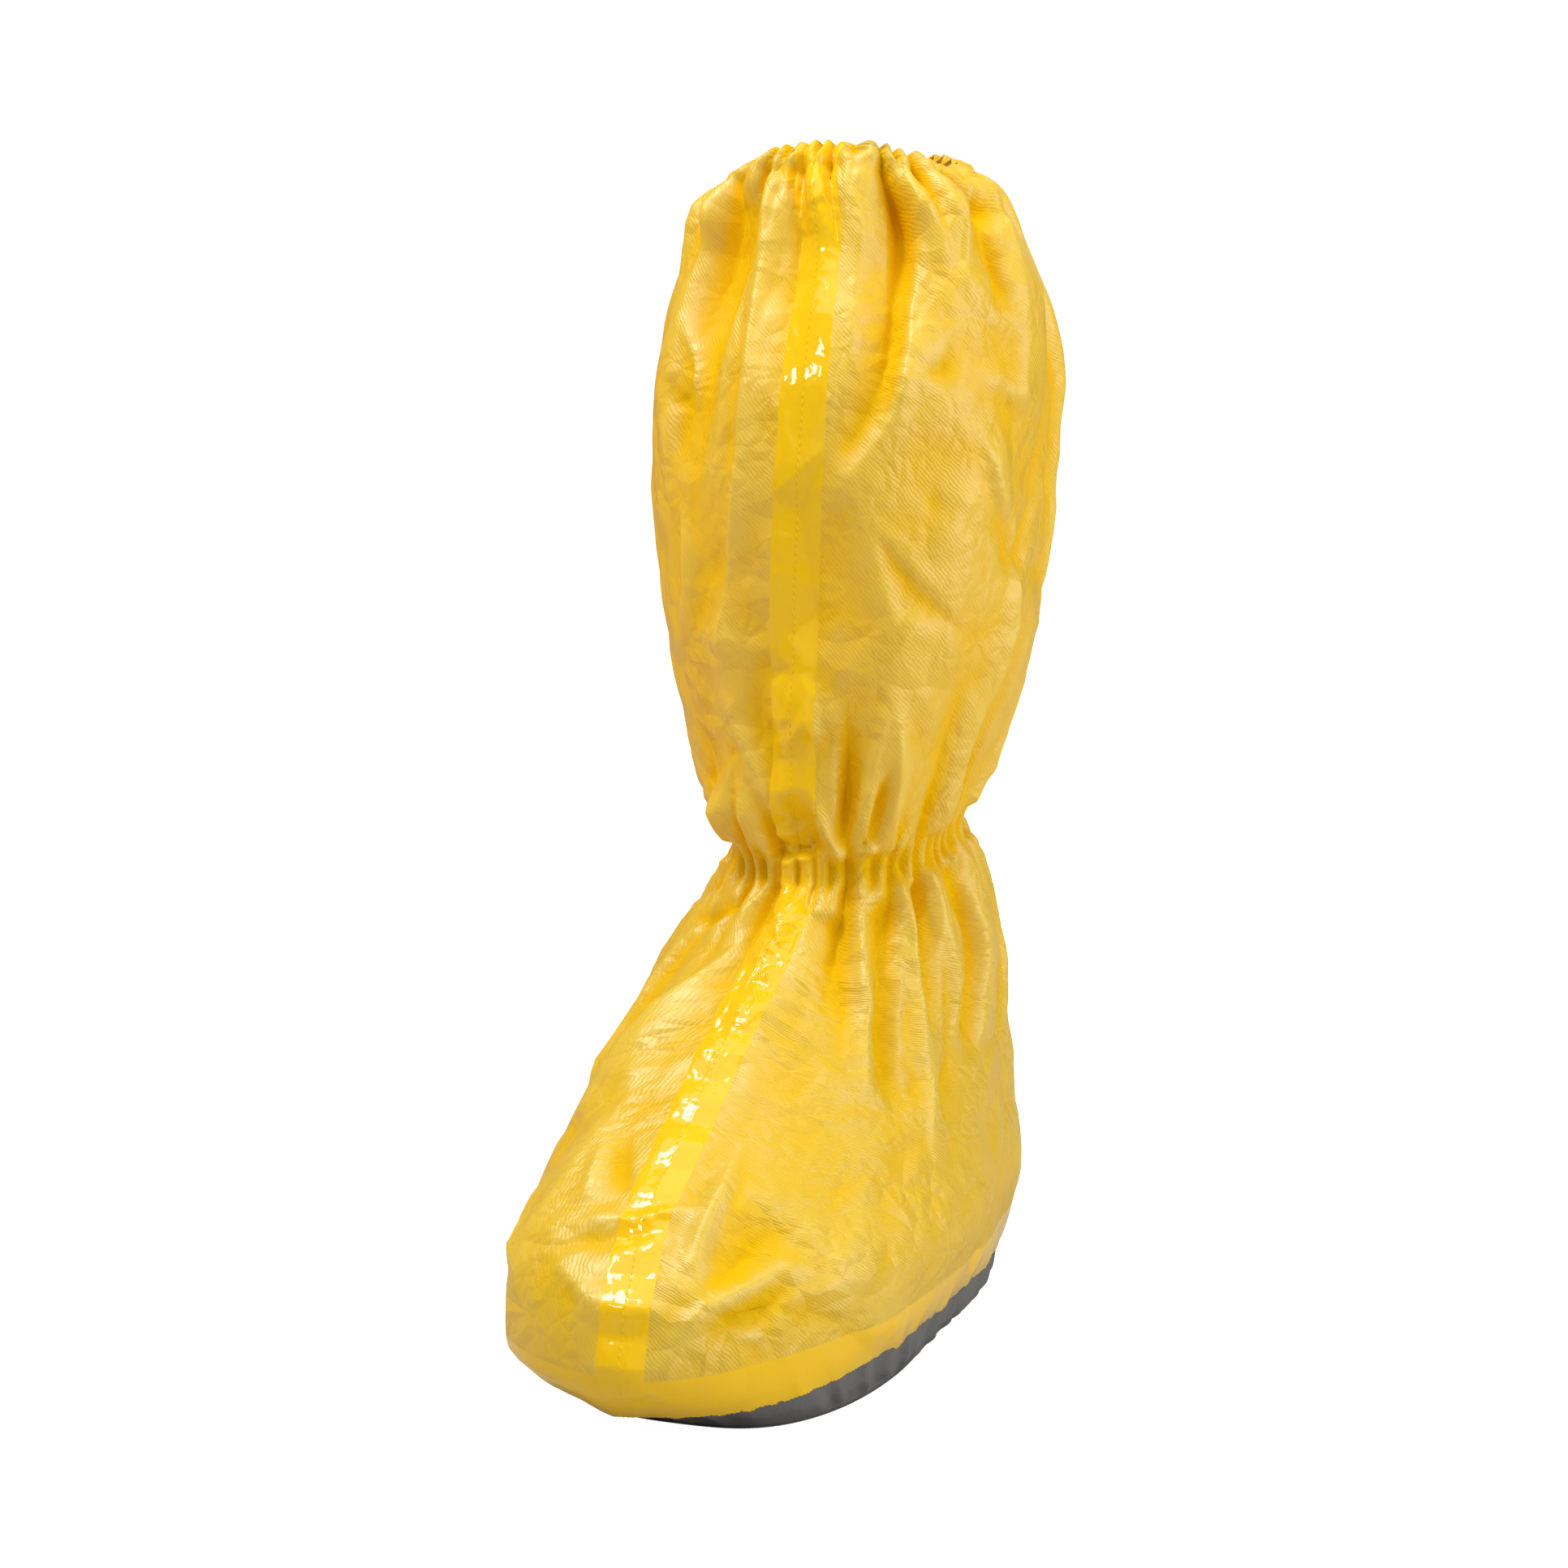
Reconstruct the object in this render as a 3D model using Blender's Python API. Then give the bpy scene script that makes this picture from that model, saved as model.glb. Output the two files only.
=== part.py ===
"""A tall gathered overshoe of coated yellow fabric with a grey soft sole.

Units are metres, +Z is up, the toe points to -Y and the origin is under the middle of the boot.
Every piece is a sheet taken from one skin function and given its thickness by a Solidify modifier.
"""

import math
from collections import namedtuple

import bmesh
import bpy
import numpy as np

# Driving dimensions
FOOT_LENGTH = 0.354
BALL_WIDTH = 0.166
BOOT_HEIGHT = 0.490

# Thicknesses and the gap that neighbouring pieces keep
FABRIC = 0.0006
SOLE_SHEET = 0.0012
TAPE = 0.0004
ELASTIC = 0.0012
SEAT_GAP = 0.0003

# The front tape, and how far it stops short of the sole's tape, in section levels
FRONT_TAPE_WIDTH = 0.022
FRONT_TAPE_STRIPS = 4
TAPE_STEP = 0.03

# How far the sole's edge stops short of the seam, in section levels
SEAM_STEP = 0.08

# The soft sole lifts a little between heel and forefoot
ARCH_LIFT = 0.0020
ARCH_MIDDLE = 0.022
ARCH_REACH = 0.060

COLUMNS = 72

# The sections from the floor to the rim. front and back are shares of the foot's length from the origin.
# front_rise, back_rise, side_rise and tilt are shares of the boot's height: side_rise lifts both sides, and
# tilt lifts the right side and lowers the left. breadth and shift, the move to the right, are shares of
# the ball's width. egg widens the toe half, full fills out the diagonals, twist turns the section in
# degrees, and steps is the number of mesh rows up to the next section.
Section = namedtuple(
    "Section", "name front back front_rise back_rise side_rise tilt breadth shift egg full twist steps")
SECTIONS = (
    Section("tread", -0.365, 0.420, 0.000, 0.000, 0.000, 0.000, 0.67, 0.02, 0.15, 0.11, 0.0, 1),
    Section("edge", -0.405, 0.458, 0.012, 0.006, 0.002, 0.000, 0.76, 0.01, 0.14, 0.08, 0.0, 2),
    Section("seam", -0.458, 0.482, 0.027, 0.027, 0.012, 0.000, 0.85, 0.00, 0.13, 0.05, 0.0, 1),
    Section("tape_top", -0.500, 0.500, 0.066, 0.060, 0.009, 0.000, 0.93, 0.00, 0.12, 0.04, 0.0, 2),
    Section("bulge", -0.488, 0.490, 0.114, 0.122, 0.004, 0.000, 1.00, 0.00, 0.10, 0.03, 0.0, 2),
    Section("toe", -0.400, 0.480, 0.174, 0.196, 0.000, 0.000, 0.95, 0.00, 0.06, 0.03, 0.0, 2),
    Section("instep", -0.252, 0.466, 0.238, 0.267, 0.000, 0.000, 0.84, 0.00, 0.02, 0.03, 0.0, 2),
    Section("throat", -0.092, 0.407, 0.320, 0.350, 0.000, 0.000, 0.74, 0.00, 0.00, 0.03, 0.5, 3),
    Section("ankle_low", -0.004, 0.332, 0.390, 0.424, 0.000, 0.000, 0.575, 0.01, 0.00, 0.03, 1.0, 1),
    Section("ankle", 0.000, 0.328, 0.398, 0.433, 0.000, 0.000, 0.555, 0.01, 0.00, 0.03, 1.0, 1),
    Section("ankle_high", -0.002, 0.332, 0.406, 0.442, 0.000, 0.000, 0.575, 0.01, 0.00, 0.03, 1.0, 2),
    Section("shaft_low", -0.018, 0.375, 0.461, 0.490, 0.000, 0.000, 0.70, 0.00, 0.00, 0.03, 2.0, 2),
    Section("calf", -0.024, 0.402, 0.622, 0.628, 0.000, 0.000, 0.93, 0.00, 0.00, 0.03, 3.0, 2),
    Section("full", -0.011, 0.408, 0.790, 0.786, 0.000, 0.000, 0.98, 0.00, 0.00, 0.03, 5.0, 3),
    Section("shoulder", 0.080, 0.362, 0.915, 0.920, 0.000, 0.004, 0.78, -0.01, 0.00, 0.03, 4.0, 2),
    Section("hem", 0.130, 0.330, 0.956, 0.970, 0.000, 0.008, 0.55, -0.03, 0.00, 0.03, 0.0, 1),
    Section("rim", 0.134, 0.326, 0.974, 0.990, 0.000, 0.008, 0.52, -0.03, 0.00, 0.03, 0.0, 0),
)
LEVEL = {section.name: index for index, section in enumerate(SECTIONS)}

# Gathers beside an elastic: pleats round the boot, their height, and the distance from the elastic at
# which they stand highest
Gather = namedtuple("Gather", "level pleats height reach")
GATHERS = (
    Gather("ankle", 18, 0.0042, 0.016),
    Gather("hem", 12, 0.0050, 0.016),
)

# The main folds: soft troughs that run along the boot, at a turn from the toe in degrees
Fold = namedtuple("Fold", "name turn_low turn_high low high half_width depth")
FOLDS = (
    Fold("left of the shaft tape", -38.0, -30.0, "ankle_high", "shoulder", 13.0, 0.009),
    Fold("right of the shaft tape", 34.0, 30.0, "calf", "hem", 11.0, 0.008),
    Fold("right side of the shaft", 82.0, 104.0, "ankle_high", "full", 12.0, 0.007),
    Fold("beside the toe", 42.0, 50.0, "seam", "instep", 12.0, 0.008),
    Fold("outer side of the foot", 78.0, 84.0, "tape_top", "throat", 10.0, 0.006),
    Fold("inner side of the foot", -80.0, -74.0, "tape_top", "throat", 10.0, 0.006),
)

FRONT_CLEAR = math.radians(15.0)


def smooth_through(values, position):
    """Smooth monotone curve through evenly spaced values, at a position counted in values."""
    values = np.asarray(values, dtype=float)
    rises = np.diff(values)
    slopes = np.zeros(len(values))
    slopes[0] = rises[0]
    slopes[-1] = rises[-1]
    for i in range(1, len(values) - 1):
        before, after = rises[i - 1], rises[i]
        if before * after > 0.0:
            slopes[i] = 2.0 * before * after / (before + after)
    i = min(max(int(math.floor(position)), 0), len(values) - 2)
    t = position - i
    blend = t * t * (3.0 - 2.0 * t)
    ease_in = t * (1.0 - t) ** 2
    ease_out = -t * t * (1.0 - t)
    return values[i] + rises[i] * blend + slopes[i] * ease_in + slopes[i + 1] * ease_out


def section_at(level):
    """The section at any level between two rows of the table."""
    columns = zip(*[section[1:-1] for section in SECTIONS])
    return Section("between", *[smooth_through(column, level) for column in columns], 0)


def skin(turn, level):
    """Point of the smooth skin at a turn from the toe, in radians, on a section level."""
    s = section_at(level)
    front, back = s.front * FOOT_LENGTH, s.back * FOOT_LENGTH
    low, high = s.front_rise * BOOT_HEIGHT, s.back_rise * BOOT_HEIGHT
    full = 1.0 + s.full * math.sin(2.0 * turn) ** 2
    x = 0.5 * s.breadth * BALL_WIDTH * math.sin(turn) * (1.0 + s.egg * math.cos(turn)) * full
    y = -0.5 * (back - front) * math.cos(turn) * full
    z = 0.5 * (low + high) - 0.5 * (high - low) * math.cos(turn)
    z += BOOT_HEIGHT * (s.side_rise * math.sin(turn) ** 2 + s.tilt * math.sin(turn))
    c, n = math.cos(math.radians(s.twist)), math.sin(math.radians(s.twist))
    right, along = s.shift * BALL_WIDTH, 0.5 * (front + back)
    return np.array([c * x - n * y + right, n * x + c * y + along, z])


def outward(turn, level):
    """Unit normal of the skin, pointing out of the boot."""
    d = 0.01
    low, high = max(level - d, 0.0), min(level + d, len(SECTIONS) - 1.0)
    along = skin(turn + d, level) - skin(turn - d, level)
    up = skin(turn, high) - skin(turn, low)
    normal = np.cross(along, up)
    return normal / np.linalg.norm(normal)


def ease(low, high, value):
    """0 at low, 1 at high, smooth between."""
    t = min(max((value - low) / (high - low), 0.0), 1.0)
    return t * t * (3.0 - 2.0 * t)


def wrapped(angle):
    """An angle in radians brought between -pi and pi."""
    return (angle + math.pi) % (2.0 * math.pi) - math.pi


def gather_height(turn, level):
    """How far the pleats beside the elastics stand out of the skin."""
    off_tape = ease(FRONT_CLEAR, 2.0 * FRONT_CLEAR, abs(wrapped(turn)))
    height = skin(turn, level)[2]
    total = 0.0
    for gather in GATHERS:
        away = abs(height - skin(turn, LEVEL[gather.level])[2]) / gather.reach
        pleat = 0.5 + 0.5 * math.cos(gather.pleats * turn)
        total += gather.height * (0.25 * math.exp(-away) + away * math.exp(1.0 - away)) * pleat
    above_seam = ease(LEVEL["bulge"], LEVEL["toe"], level)
    return total * off_tape * above_seam


def fold_depth(turn, level):
    """How far the main folds sink below the skin."""
    total = 0.0
    for fold in FOLDS:
        low, high = LEVEL[fold.low], LEVEL[fold.high]
        share = (level - low) / (high - low)
        if 0.0 < share < 1.0:
            middle = math.radians(fold.turn_low + (fold.turn_high - fold.turn_low) * share)
            across = wrapped(turn - middle) / math.radians(fold.half_width)
            total += fold.depth * math.sin(math.pi * share) ** 2 * math.exp(-across * across)
    return total


def upper_point(turn, level, lift=0.0):
    """Point of the upper's outer face, raised by lift along the skin's normal."""
    relief = gather_height(turn, level) - fold_depth(turn, level)
    return skin(turn, level) + outward(turn, level) * (relief + lift)


def arch(y):
    """Lift of the sole at a place along the foot."""
    across = min(abs(y - ARCH_MIDDLE) / ARCH_REACH, 1.0)
    return ARCH_LIFT * (1.0 - across * across) ** 2


def rows_between(low, high):
    """Levels of the mesh rows from one named section up to another."""
    levels = []
    for index in range(LEVEL[low], LEVEL[high]):
        steps = SECTIONS[index].steps
        levels += [index + step / steps for step in range(steps)]
    return levels + [float(LEVEL[high])]


def all_turns():
    """Turns of the mesh columns, once round the boot."""
    return [2.0 * math.pi * column / COLUMNS for column in range(COLUMNS)]


def ring_sheet(rows, closed=True):
    """A bmesh sheet with faces between neighbouring rows of points."""
    sheet = bmesh.new()
    grid = [[sheet.verts.new(point) for point in row] for row in rows]
    count = len(grid[0])
    for lower, upper in zip(grid, grid[1:]):
        for i in range(count if closed else count - 1):
            j = (i + 1) % count
            sheet.faces.new((lower[i], lower[j], upper[j], upper[i]))
    return sheet, grid


def add_piece(name, sheet, thickness, side, material):
    """Object from a sheet, thickened to one side: 1 outward, -1 inward."""
    mesh = bpy.data.meshes.new(name)
    sheet.to_mesh(mesh)
    sheet.free()
    piece = bpy.data.objects.new(name, mesh)
    bpy.context.collection.objects.link(piece)
    piece.data.materials.append(material)
    wall = piece.modifiers.new("wall", "SOLIDIFY")
    wall.thickness = thickness
    wall.offset = side
    wall.use_even_offset = False
    return piece


def add_material(name, colour, roughness):
    """Plain material with the part's colour."""
    material = bpy.data.materials.new(name)
    material.use_nodes = True
    shader = material.node_tree.nodes["Principled BSDF"]
    shader.inputs["Base Color"].default_value = (*colour, 1.0)
    shader.inputs["Roughness"].default_value = roughness
    shader.inputs["Metallic"].default_value = 0.0
    return material


def build_upper(material):
    """The hollow fabric wall, from the sole's seam to the rim."""
    rows = [[upper_point(turn, level) for turn in all_turns()] for level in rows_between("seam", "rim")]
    sheet, _ = ring_sheet(rows)
    return add_piece("upper", sheet, FABRIC, -1.0, material)


def build_sole(material):
    """The sole: a flat sheet with its edge turned up to the seam."""
    levels = rows_between("tread", "seam")
    levels[-1] -= SEAM_STEP
    rows = []
    for level in levels:
        share = 1.0 - level / LEVEL["seam"]
        row = [skin(turn, level) for turn in all_turns()]
        for point in row:
            point[2] += arch(point[1]) * share
        rows.append(row)
    sheet, grid = ring_sheet(rows)
    tread = grid[0]
    sheet.faces.new((tread[0], tread[-1], tread[1]))
    for i in range(1, COLUMNS // 2 - 1):
        sheet.faces.new((tread[i], tread[-i], tread[-i - 1], tread[i + 1]))
    middle = COLUMNS // 2
    sheet.faces.new((tread[middle - 1], tread[middle + 1], tread[middle]))
    return add_piece("sole", sheet, SOLE_SHEET, -1.0, material)


def build_front_tape(material):
    """The tape over the front seam, from the sole's tape to the hem."""
    rows = []
    levels = rows_between("tape_top", "hem")
    levels[0] += TAPE_STEP
    for level in levels:
        step = 0.01
        speed = np.linalg.norm(skin(step, level) - skin(-step, level)) / (2.0 * step)
        half = 0.5 * FRONT_TAPE_WIDTH / speed
        turns = [half * (2.0 * i / FRONT_TAPE_STRIPS - 1.0) for i in range(FRONT_TAPE_STRIPS + 1)]
        rows.append([upper_point(turn, level, SEAT_GAP) for turn in turns])
    sheet, _ = ring_sheet(rows, closed=False)
    return add_piece("front_seam_tape", sheet, TAPE, 1.0, material)


def build_sole_tape(material):
    """The tape round the seam between upper and sole."""
    rows = [[upper_point(turn, level, SEAT_GAP) for turn in all_turns()]
            for level in rows_between("seam", "tape_top")]
    sheet, _ = ring_sheet(rows)
    return add_piece("sole_seam_tape", sheet, TAPE, 1.0, material)


def build_elastic(name, low, high, material):
    """An elastic ring inside the upper, seated on the troughs of its pleats."""
    inset = FABRIC + SEAT_GAP
    rows = [[skin(turn, level) - outward(turn, level) * inset for turn in all_turns()]
            for level in rows_between(low, high)]
    sheet, _ = ring_sheet(rows)
    return add_piece(name, sheet, ELASTIC, -1.0, material)


def build():
    """All pieces of the overshoe."""
    for old in list(bpy.data.objects):
        bpy.data.objects.remove(old, do_unlink=True)
    fabric = add_material("yellow_fabric", (0.74, 0.46, 0.07), 0.55)
    tape = add_material("yellow_tape", (0.82, 0.50, 0.02), 0.25)
    grey = add_material("grey_sole", (0.17, 0.17, 0.16), 0.80)
    elastic = add_material("pale_elastic", (0.80, 0.62, 0.22), 0.70)
    build_upper(fabric)
    build_sole(grey)
    build_front_tape(tape)
    build_sole_tape(tape)
    build_elastic("ankle_elastic", "ankle_low", "ankle_high", elastic)
    build_elastic("collar_elastic", "hem", "rim", elastic)


build()
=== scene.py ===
"""Looks of the overshoe: gathered coated fabric, glossy seam tapes, stitches and a grey soft sole.

Units are metres, in the frame of the solids: +Z up, the toe to -Y. The fabric is a grid of columns, which
run from the sole's seam up to the rim, and rows, which run once round the boot from the front seam.
"""

import math
from collections import namedtuple

import bmesh
import bpy
import numpy as np
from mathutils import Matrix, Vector
from mathutils.geometry import delaunay_2d_cdt


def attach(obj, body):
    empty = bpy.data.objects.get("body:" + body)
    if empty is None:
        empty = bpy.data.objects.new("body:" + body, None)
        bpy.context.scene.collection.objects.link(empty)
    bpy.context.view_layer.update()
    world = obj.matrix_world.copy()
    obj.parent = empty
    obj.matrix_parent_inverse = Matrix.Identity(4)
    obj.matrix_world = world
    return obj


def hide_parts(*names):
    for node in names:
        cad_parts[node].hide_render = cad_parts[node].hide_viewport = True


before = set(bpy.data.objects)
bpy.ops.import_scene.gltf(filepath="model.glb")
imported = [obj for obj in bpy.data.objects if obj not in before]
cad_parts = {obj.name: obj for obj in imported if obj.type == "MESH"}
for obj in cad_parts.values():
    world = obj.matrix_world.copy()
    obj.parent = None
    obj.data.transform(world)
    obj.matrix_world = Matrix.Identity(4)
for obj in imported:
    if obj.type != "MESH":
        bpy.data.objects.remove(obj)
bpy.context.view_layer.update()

# One millimetre, and the driving dimensions, as in the solids
MM = 0.001
FOOT_LENGTH = 0.354
BALL_WIDTH = 0.166
BOOT_HEIGHT = 0.490

# The sections from the floor to the rim. front and back are shares of the foot's length from the origin.
# front_rise, back_rise, side_rise and tilt are shares of the boot's height: side_rise lifts both sides, and
# tilt lifts the right side and lowers the left. breadth and shift, the move to the right, are shares of the
# ball's width. egg widens the toe half, full fills out the diagonals, twist turns the section in degrees.
Section = namedtuple(
    "Section", "name front back front_rise back_rise side_rise tilt breadth shift egg full twist")
SECTIONS = (
    Section("tread", -0.365, 0.42, 0, 0, 0, 0, 0.67, 0.02, 0.15, 0.11, 0),
    Section("edge", -0.405, 0.458, 0.012, 0.006, 0.002, 0, 0.76, 0.01, 0.14, 0.08, 0),
    Section("seam", -0.458, 0.482, 0.027, 0.027, 0.022, 0, 0.85, 0, 0.13, 0.05, 0),
    Section("tape_top", -0.5, 0.5, 0.066, 0.06, 0.018, 0, 0.93, 0, 0.12, 0.04, 0),
    Section("bulge", -0.488, 0.49, 0.114, 0.122, 0.004, 0, 1, 0, 0.1, 0.03, 0),
    Section("toe", -0.4, 0.48, 0.174, 0.196, 0, 0, 0.95, -0.03, 0.06, 0.03, 0),
    Section("instep", -0.252, 0.466, 0.238, 0.267, 0, 0, 0.84, -0.035, 0.02, 0.03, 0),
    Section("throat", -0.092, 0.407, 0.32, 0.35, 0, 0, 0.74, -0.015, 0, 0.03, 0.5),
    Section("ankle_low", -0.002, 0.33, 0.388, 0.423, 0, 0, 0.562, 0.01, 0, 0.03, 1),
    Section("ankle", 0, 0.328, 0.398, 0.433, 0, 0, 0.555, 0.01, 0, 0.03, 1),
    Section("ankle_high", -0.001, 0.33, 0.408, 0.443, 0, 0, 0.562, 0.01, 0, 0.03, 1),
    Section("shaft_low", -0.018, 0.375, 0.461, 0.49, 0, 0, 0.7, 0, 0, 0.03, 2),
    Section("calf", -0.024, 0.402, 0.622, 0.628, 0, 0, 0.93, 0, 0, 0.03, 3),
    Section("full", -0.011, 0.408, 0.79, 0.786, 0, 0, 0.98, 0, 0, 0.03, 5),
    Section("shoulder", 0.08, 0.362, 0.915, 0.92, 0, 0.004, 0.78, -0.01, 0, 0.03, 4),
    Section("hem", 0.11, 0.345, 0.978, 0.966, -0.014, 0.005, 0.62, -0.03, 0, 0.03, 0),
    Section("rim", 0.134, 0.326, 0.998, 0.982, -0.02, 0.005, 0.52, -0.03, 0, 0.03, 0),
)
LEVEL = {section.name: index for index, section in enumerate(SECTIONS)}

# The fabric's grid: columns round the boot, and rows between named sections
COLUMNS = 400
ROW_SPANS = (("seam", "tape_top", 8), ("tape_top", "ankle", 100), ("ankle", "hem", 116), ("hem", "rim", 8))

# Finer steps on which the grid is evened out: levels to a row, turns round a level, and turns to a column
FINE_LEVELS = 40
FINE_ROUND = 24
FINE_TURNS = 8

# How wide the fabric is cut: once round the shaft, the least on the foot as a share of that, and over the
# skin's girth the most at the hem, the least anywhere, and below the top of the sole's tape
SHAFT_CUT = 0.488
FOOT_SHARE = 0.94
HEM_SLACK = 1.75
LEAST_SLACK = 1.005
SEAM_SLACK = 1.003

# Rows on each side of the ankle where the cut width changes, and the rows that even it out
CUT_REACH = 26.0
CUT_BLUR = 9.0

# Hem turned in over the rim: the gap in its fold, the rise of its top as a share of that, and its UV step
HEM_FOLD = 0.0011
HEM_CROWN = 0.4
HEM_STEP = 0.0015

# Front tape: its width, grid and lift, the columns searched for its edge, the rows that even out its width,
# the rows that it starts below the top of the sole's tape and ends below the rim, and how steeply its edges
# fall
FRONT_TAPE_WIDTH = 0.020
FRONT_TAPE_ROWS = 760
FRONT_TAPE_COLUMNS = 41
TAPE_LIFT = 0.00022
TAPE_SEARCH = 30
TAPE_EVEN = 3.0
TAPE_BELOW = 4
TAPE_SHORT = 0.6
TAPE_EDGE = 8

# Facets of the front tape on the foot: how many, their length and height, the least share of that height,
# the length over which they fade out below the ankle, their reach to each side in tape widths, and a seed
FACET_COUNT = 40
FACET_LENGTH = (0.010, 0.017)
FACET_HEIGHT = 0.0014
FACET_LEAST = 0.5
FACET_END = 0.030
FACET_BESIDE = 0.6
FACET_SEED = 23

# Crinkles of the front tape: the levels where it is gathered with their reach, and a net of ridges: its
# height, its share elsewhere, its wave length in cells, the noise where a ridge ends, its sharpness and a
# seed
TAPE_GATHERS = ((14.5, 0.5), (7.2, 0.8))
NET_HEIGHT = 0.0006
NET_ELSEWHERE = 0.10
NET_WAVE = 9.0
NET_END = 1.6
NET_SHARP = 2.5
NET_SEED = 21

# Tape of the sole: its columns to each of the fabric's, rows, width and how steeply its top falls
SOLE_TAPE_FINE = 4
SOLE_TAPE_ROWS = 11
SOLE_TAPE_WIDTH = 0.016
SOLE_TAPE_EDGE = 6

# Its lower edge: the depth in rows of the fabric, the shares of a plain strip, of teeth and of ragged noise
# in it, the step of the teeth, and the noise's wave length in columns and seed
EDGE_DEPTH = 0.6
EDGE_PLAIN = 0.2
EDGE_TEETH = 0.4
EDGE_RAGGED = 0.6
TOOTH_STEP = 0.25
RAGGED_WAVE = 14.0
RAGGED_SEED = 32

# Its puckers: wave lengths in columns with seeds, the height, the lowest as a share of that, and how they
# fade
PUCKER_WAVES = ((60.0, 31), (24.0, 33))
PUCKER_HEIGHT = 0.00045
PUCKER_LOWEST = -0.4
PUCKER_FADE = 1.2

# Sole: its thickness and grid, how many levels it goes on under the fabric, and its gap to the skin
SOLE_SHEET = 0.0012
SOLE_COLUMNS = 360
SOLE_ROWS = 14
SOLE_ACROSS = 30
SOLE_UNDER = 0.05
SOLE_GAP = 0.0006

# Creases in the sole's edge: the depth, wave length in columns, the level where they end and a seed
SOLE_CREASE = 0.0015
SOLE_WAVE = 7.0
SOLE_CREASE_END = 2.2
SOLE_SEED = 41

# Arch of the sole
ARCH_LIFT = 0.0020
ARCH_MIDDLE = 0.022
ARCH_REACH = 0.060

# Elastics: their inset from the fabric, rows, height of ribs and thickness, the rows on each side of the
# ankle that the one covers, and the rows that the other keeps from the ends of the hem
ELASTIC_INSET = 0.0009
ELASTIC_ROWS = 9
ELASTIC_RIB = 0.00008
ANKLE_ELASTIC = 0.0012
COLLAR_ELASTIC = 0.0005
ANKLE_REACH = 2.0
COLLAR_MARGIN = 1.0

# Stitches: pitch, length and radius, the sides and rings of each, the bare ends of the seam, and the least
# share of the radius squared at a stitch's ends
STITCH_PITCH = 0.0032
STITCH_LENGTH = 0.0022
STITCH_RADIUS = 0.00030
STITCH_SIDES = 6
STITCH_RINGS = 5
STITCH_BARE = 0.004
STITCH_TIP = 0.06

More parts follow.
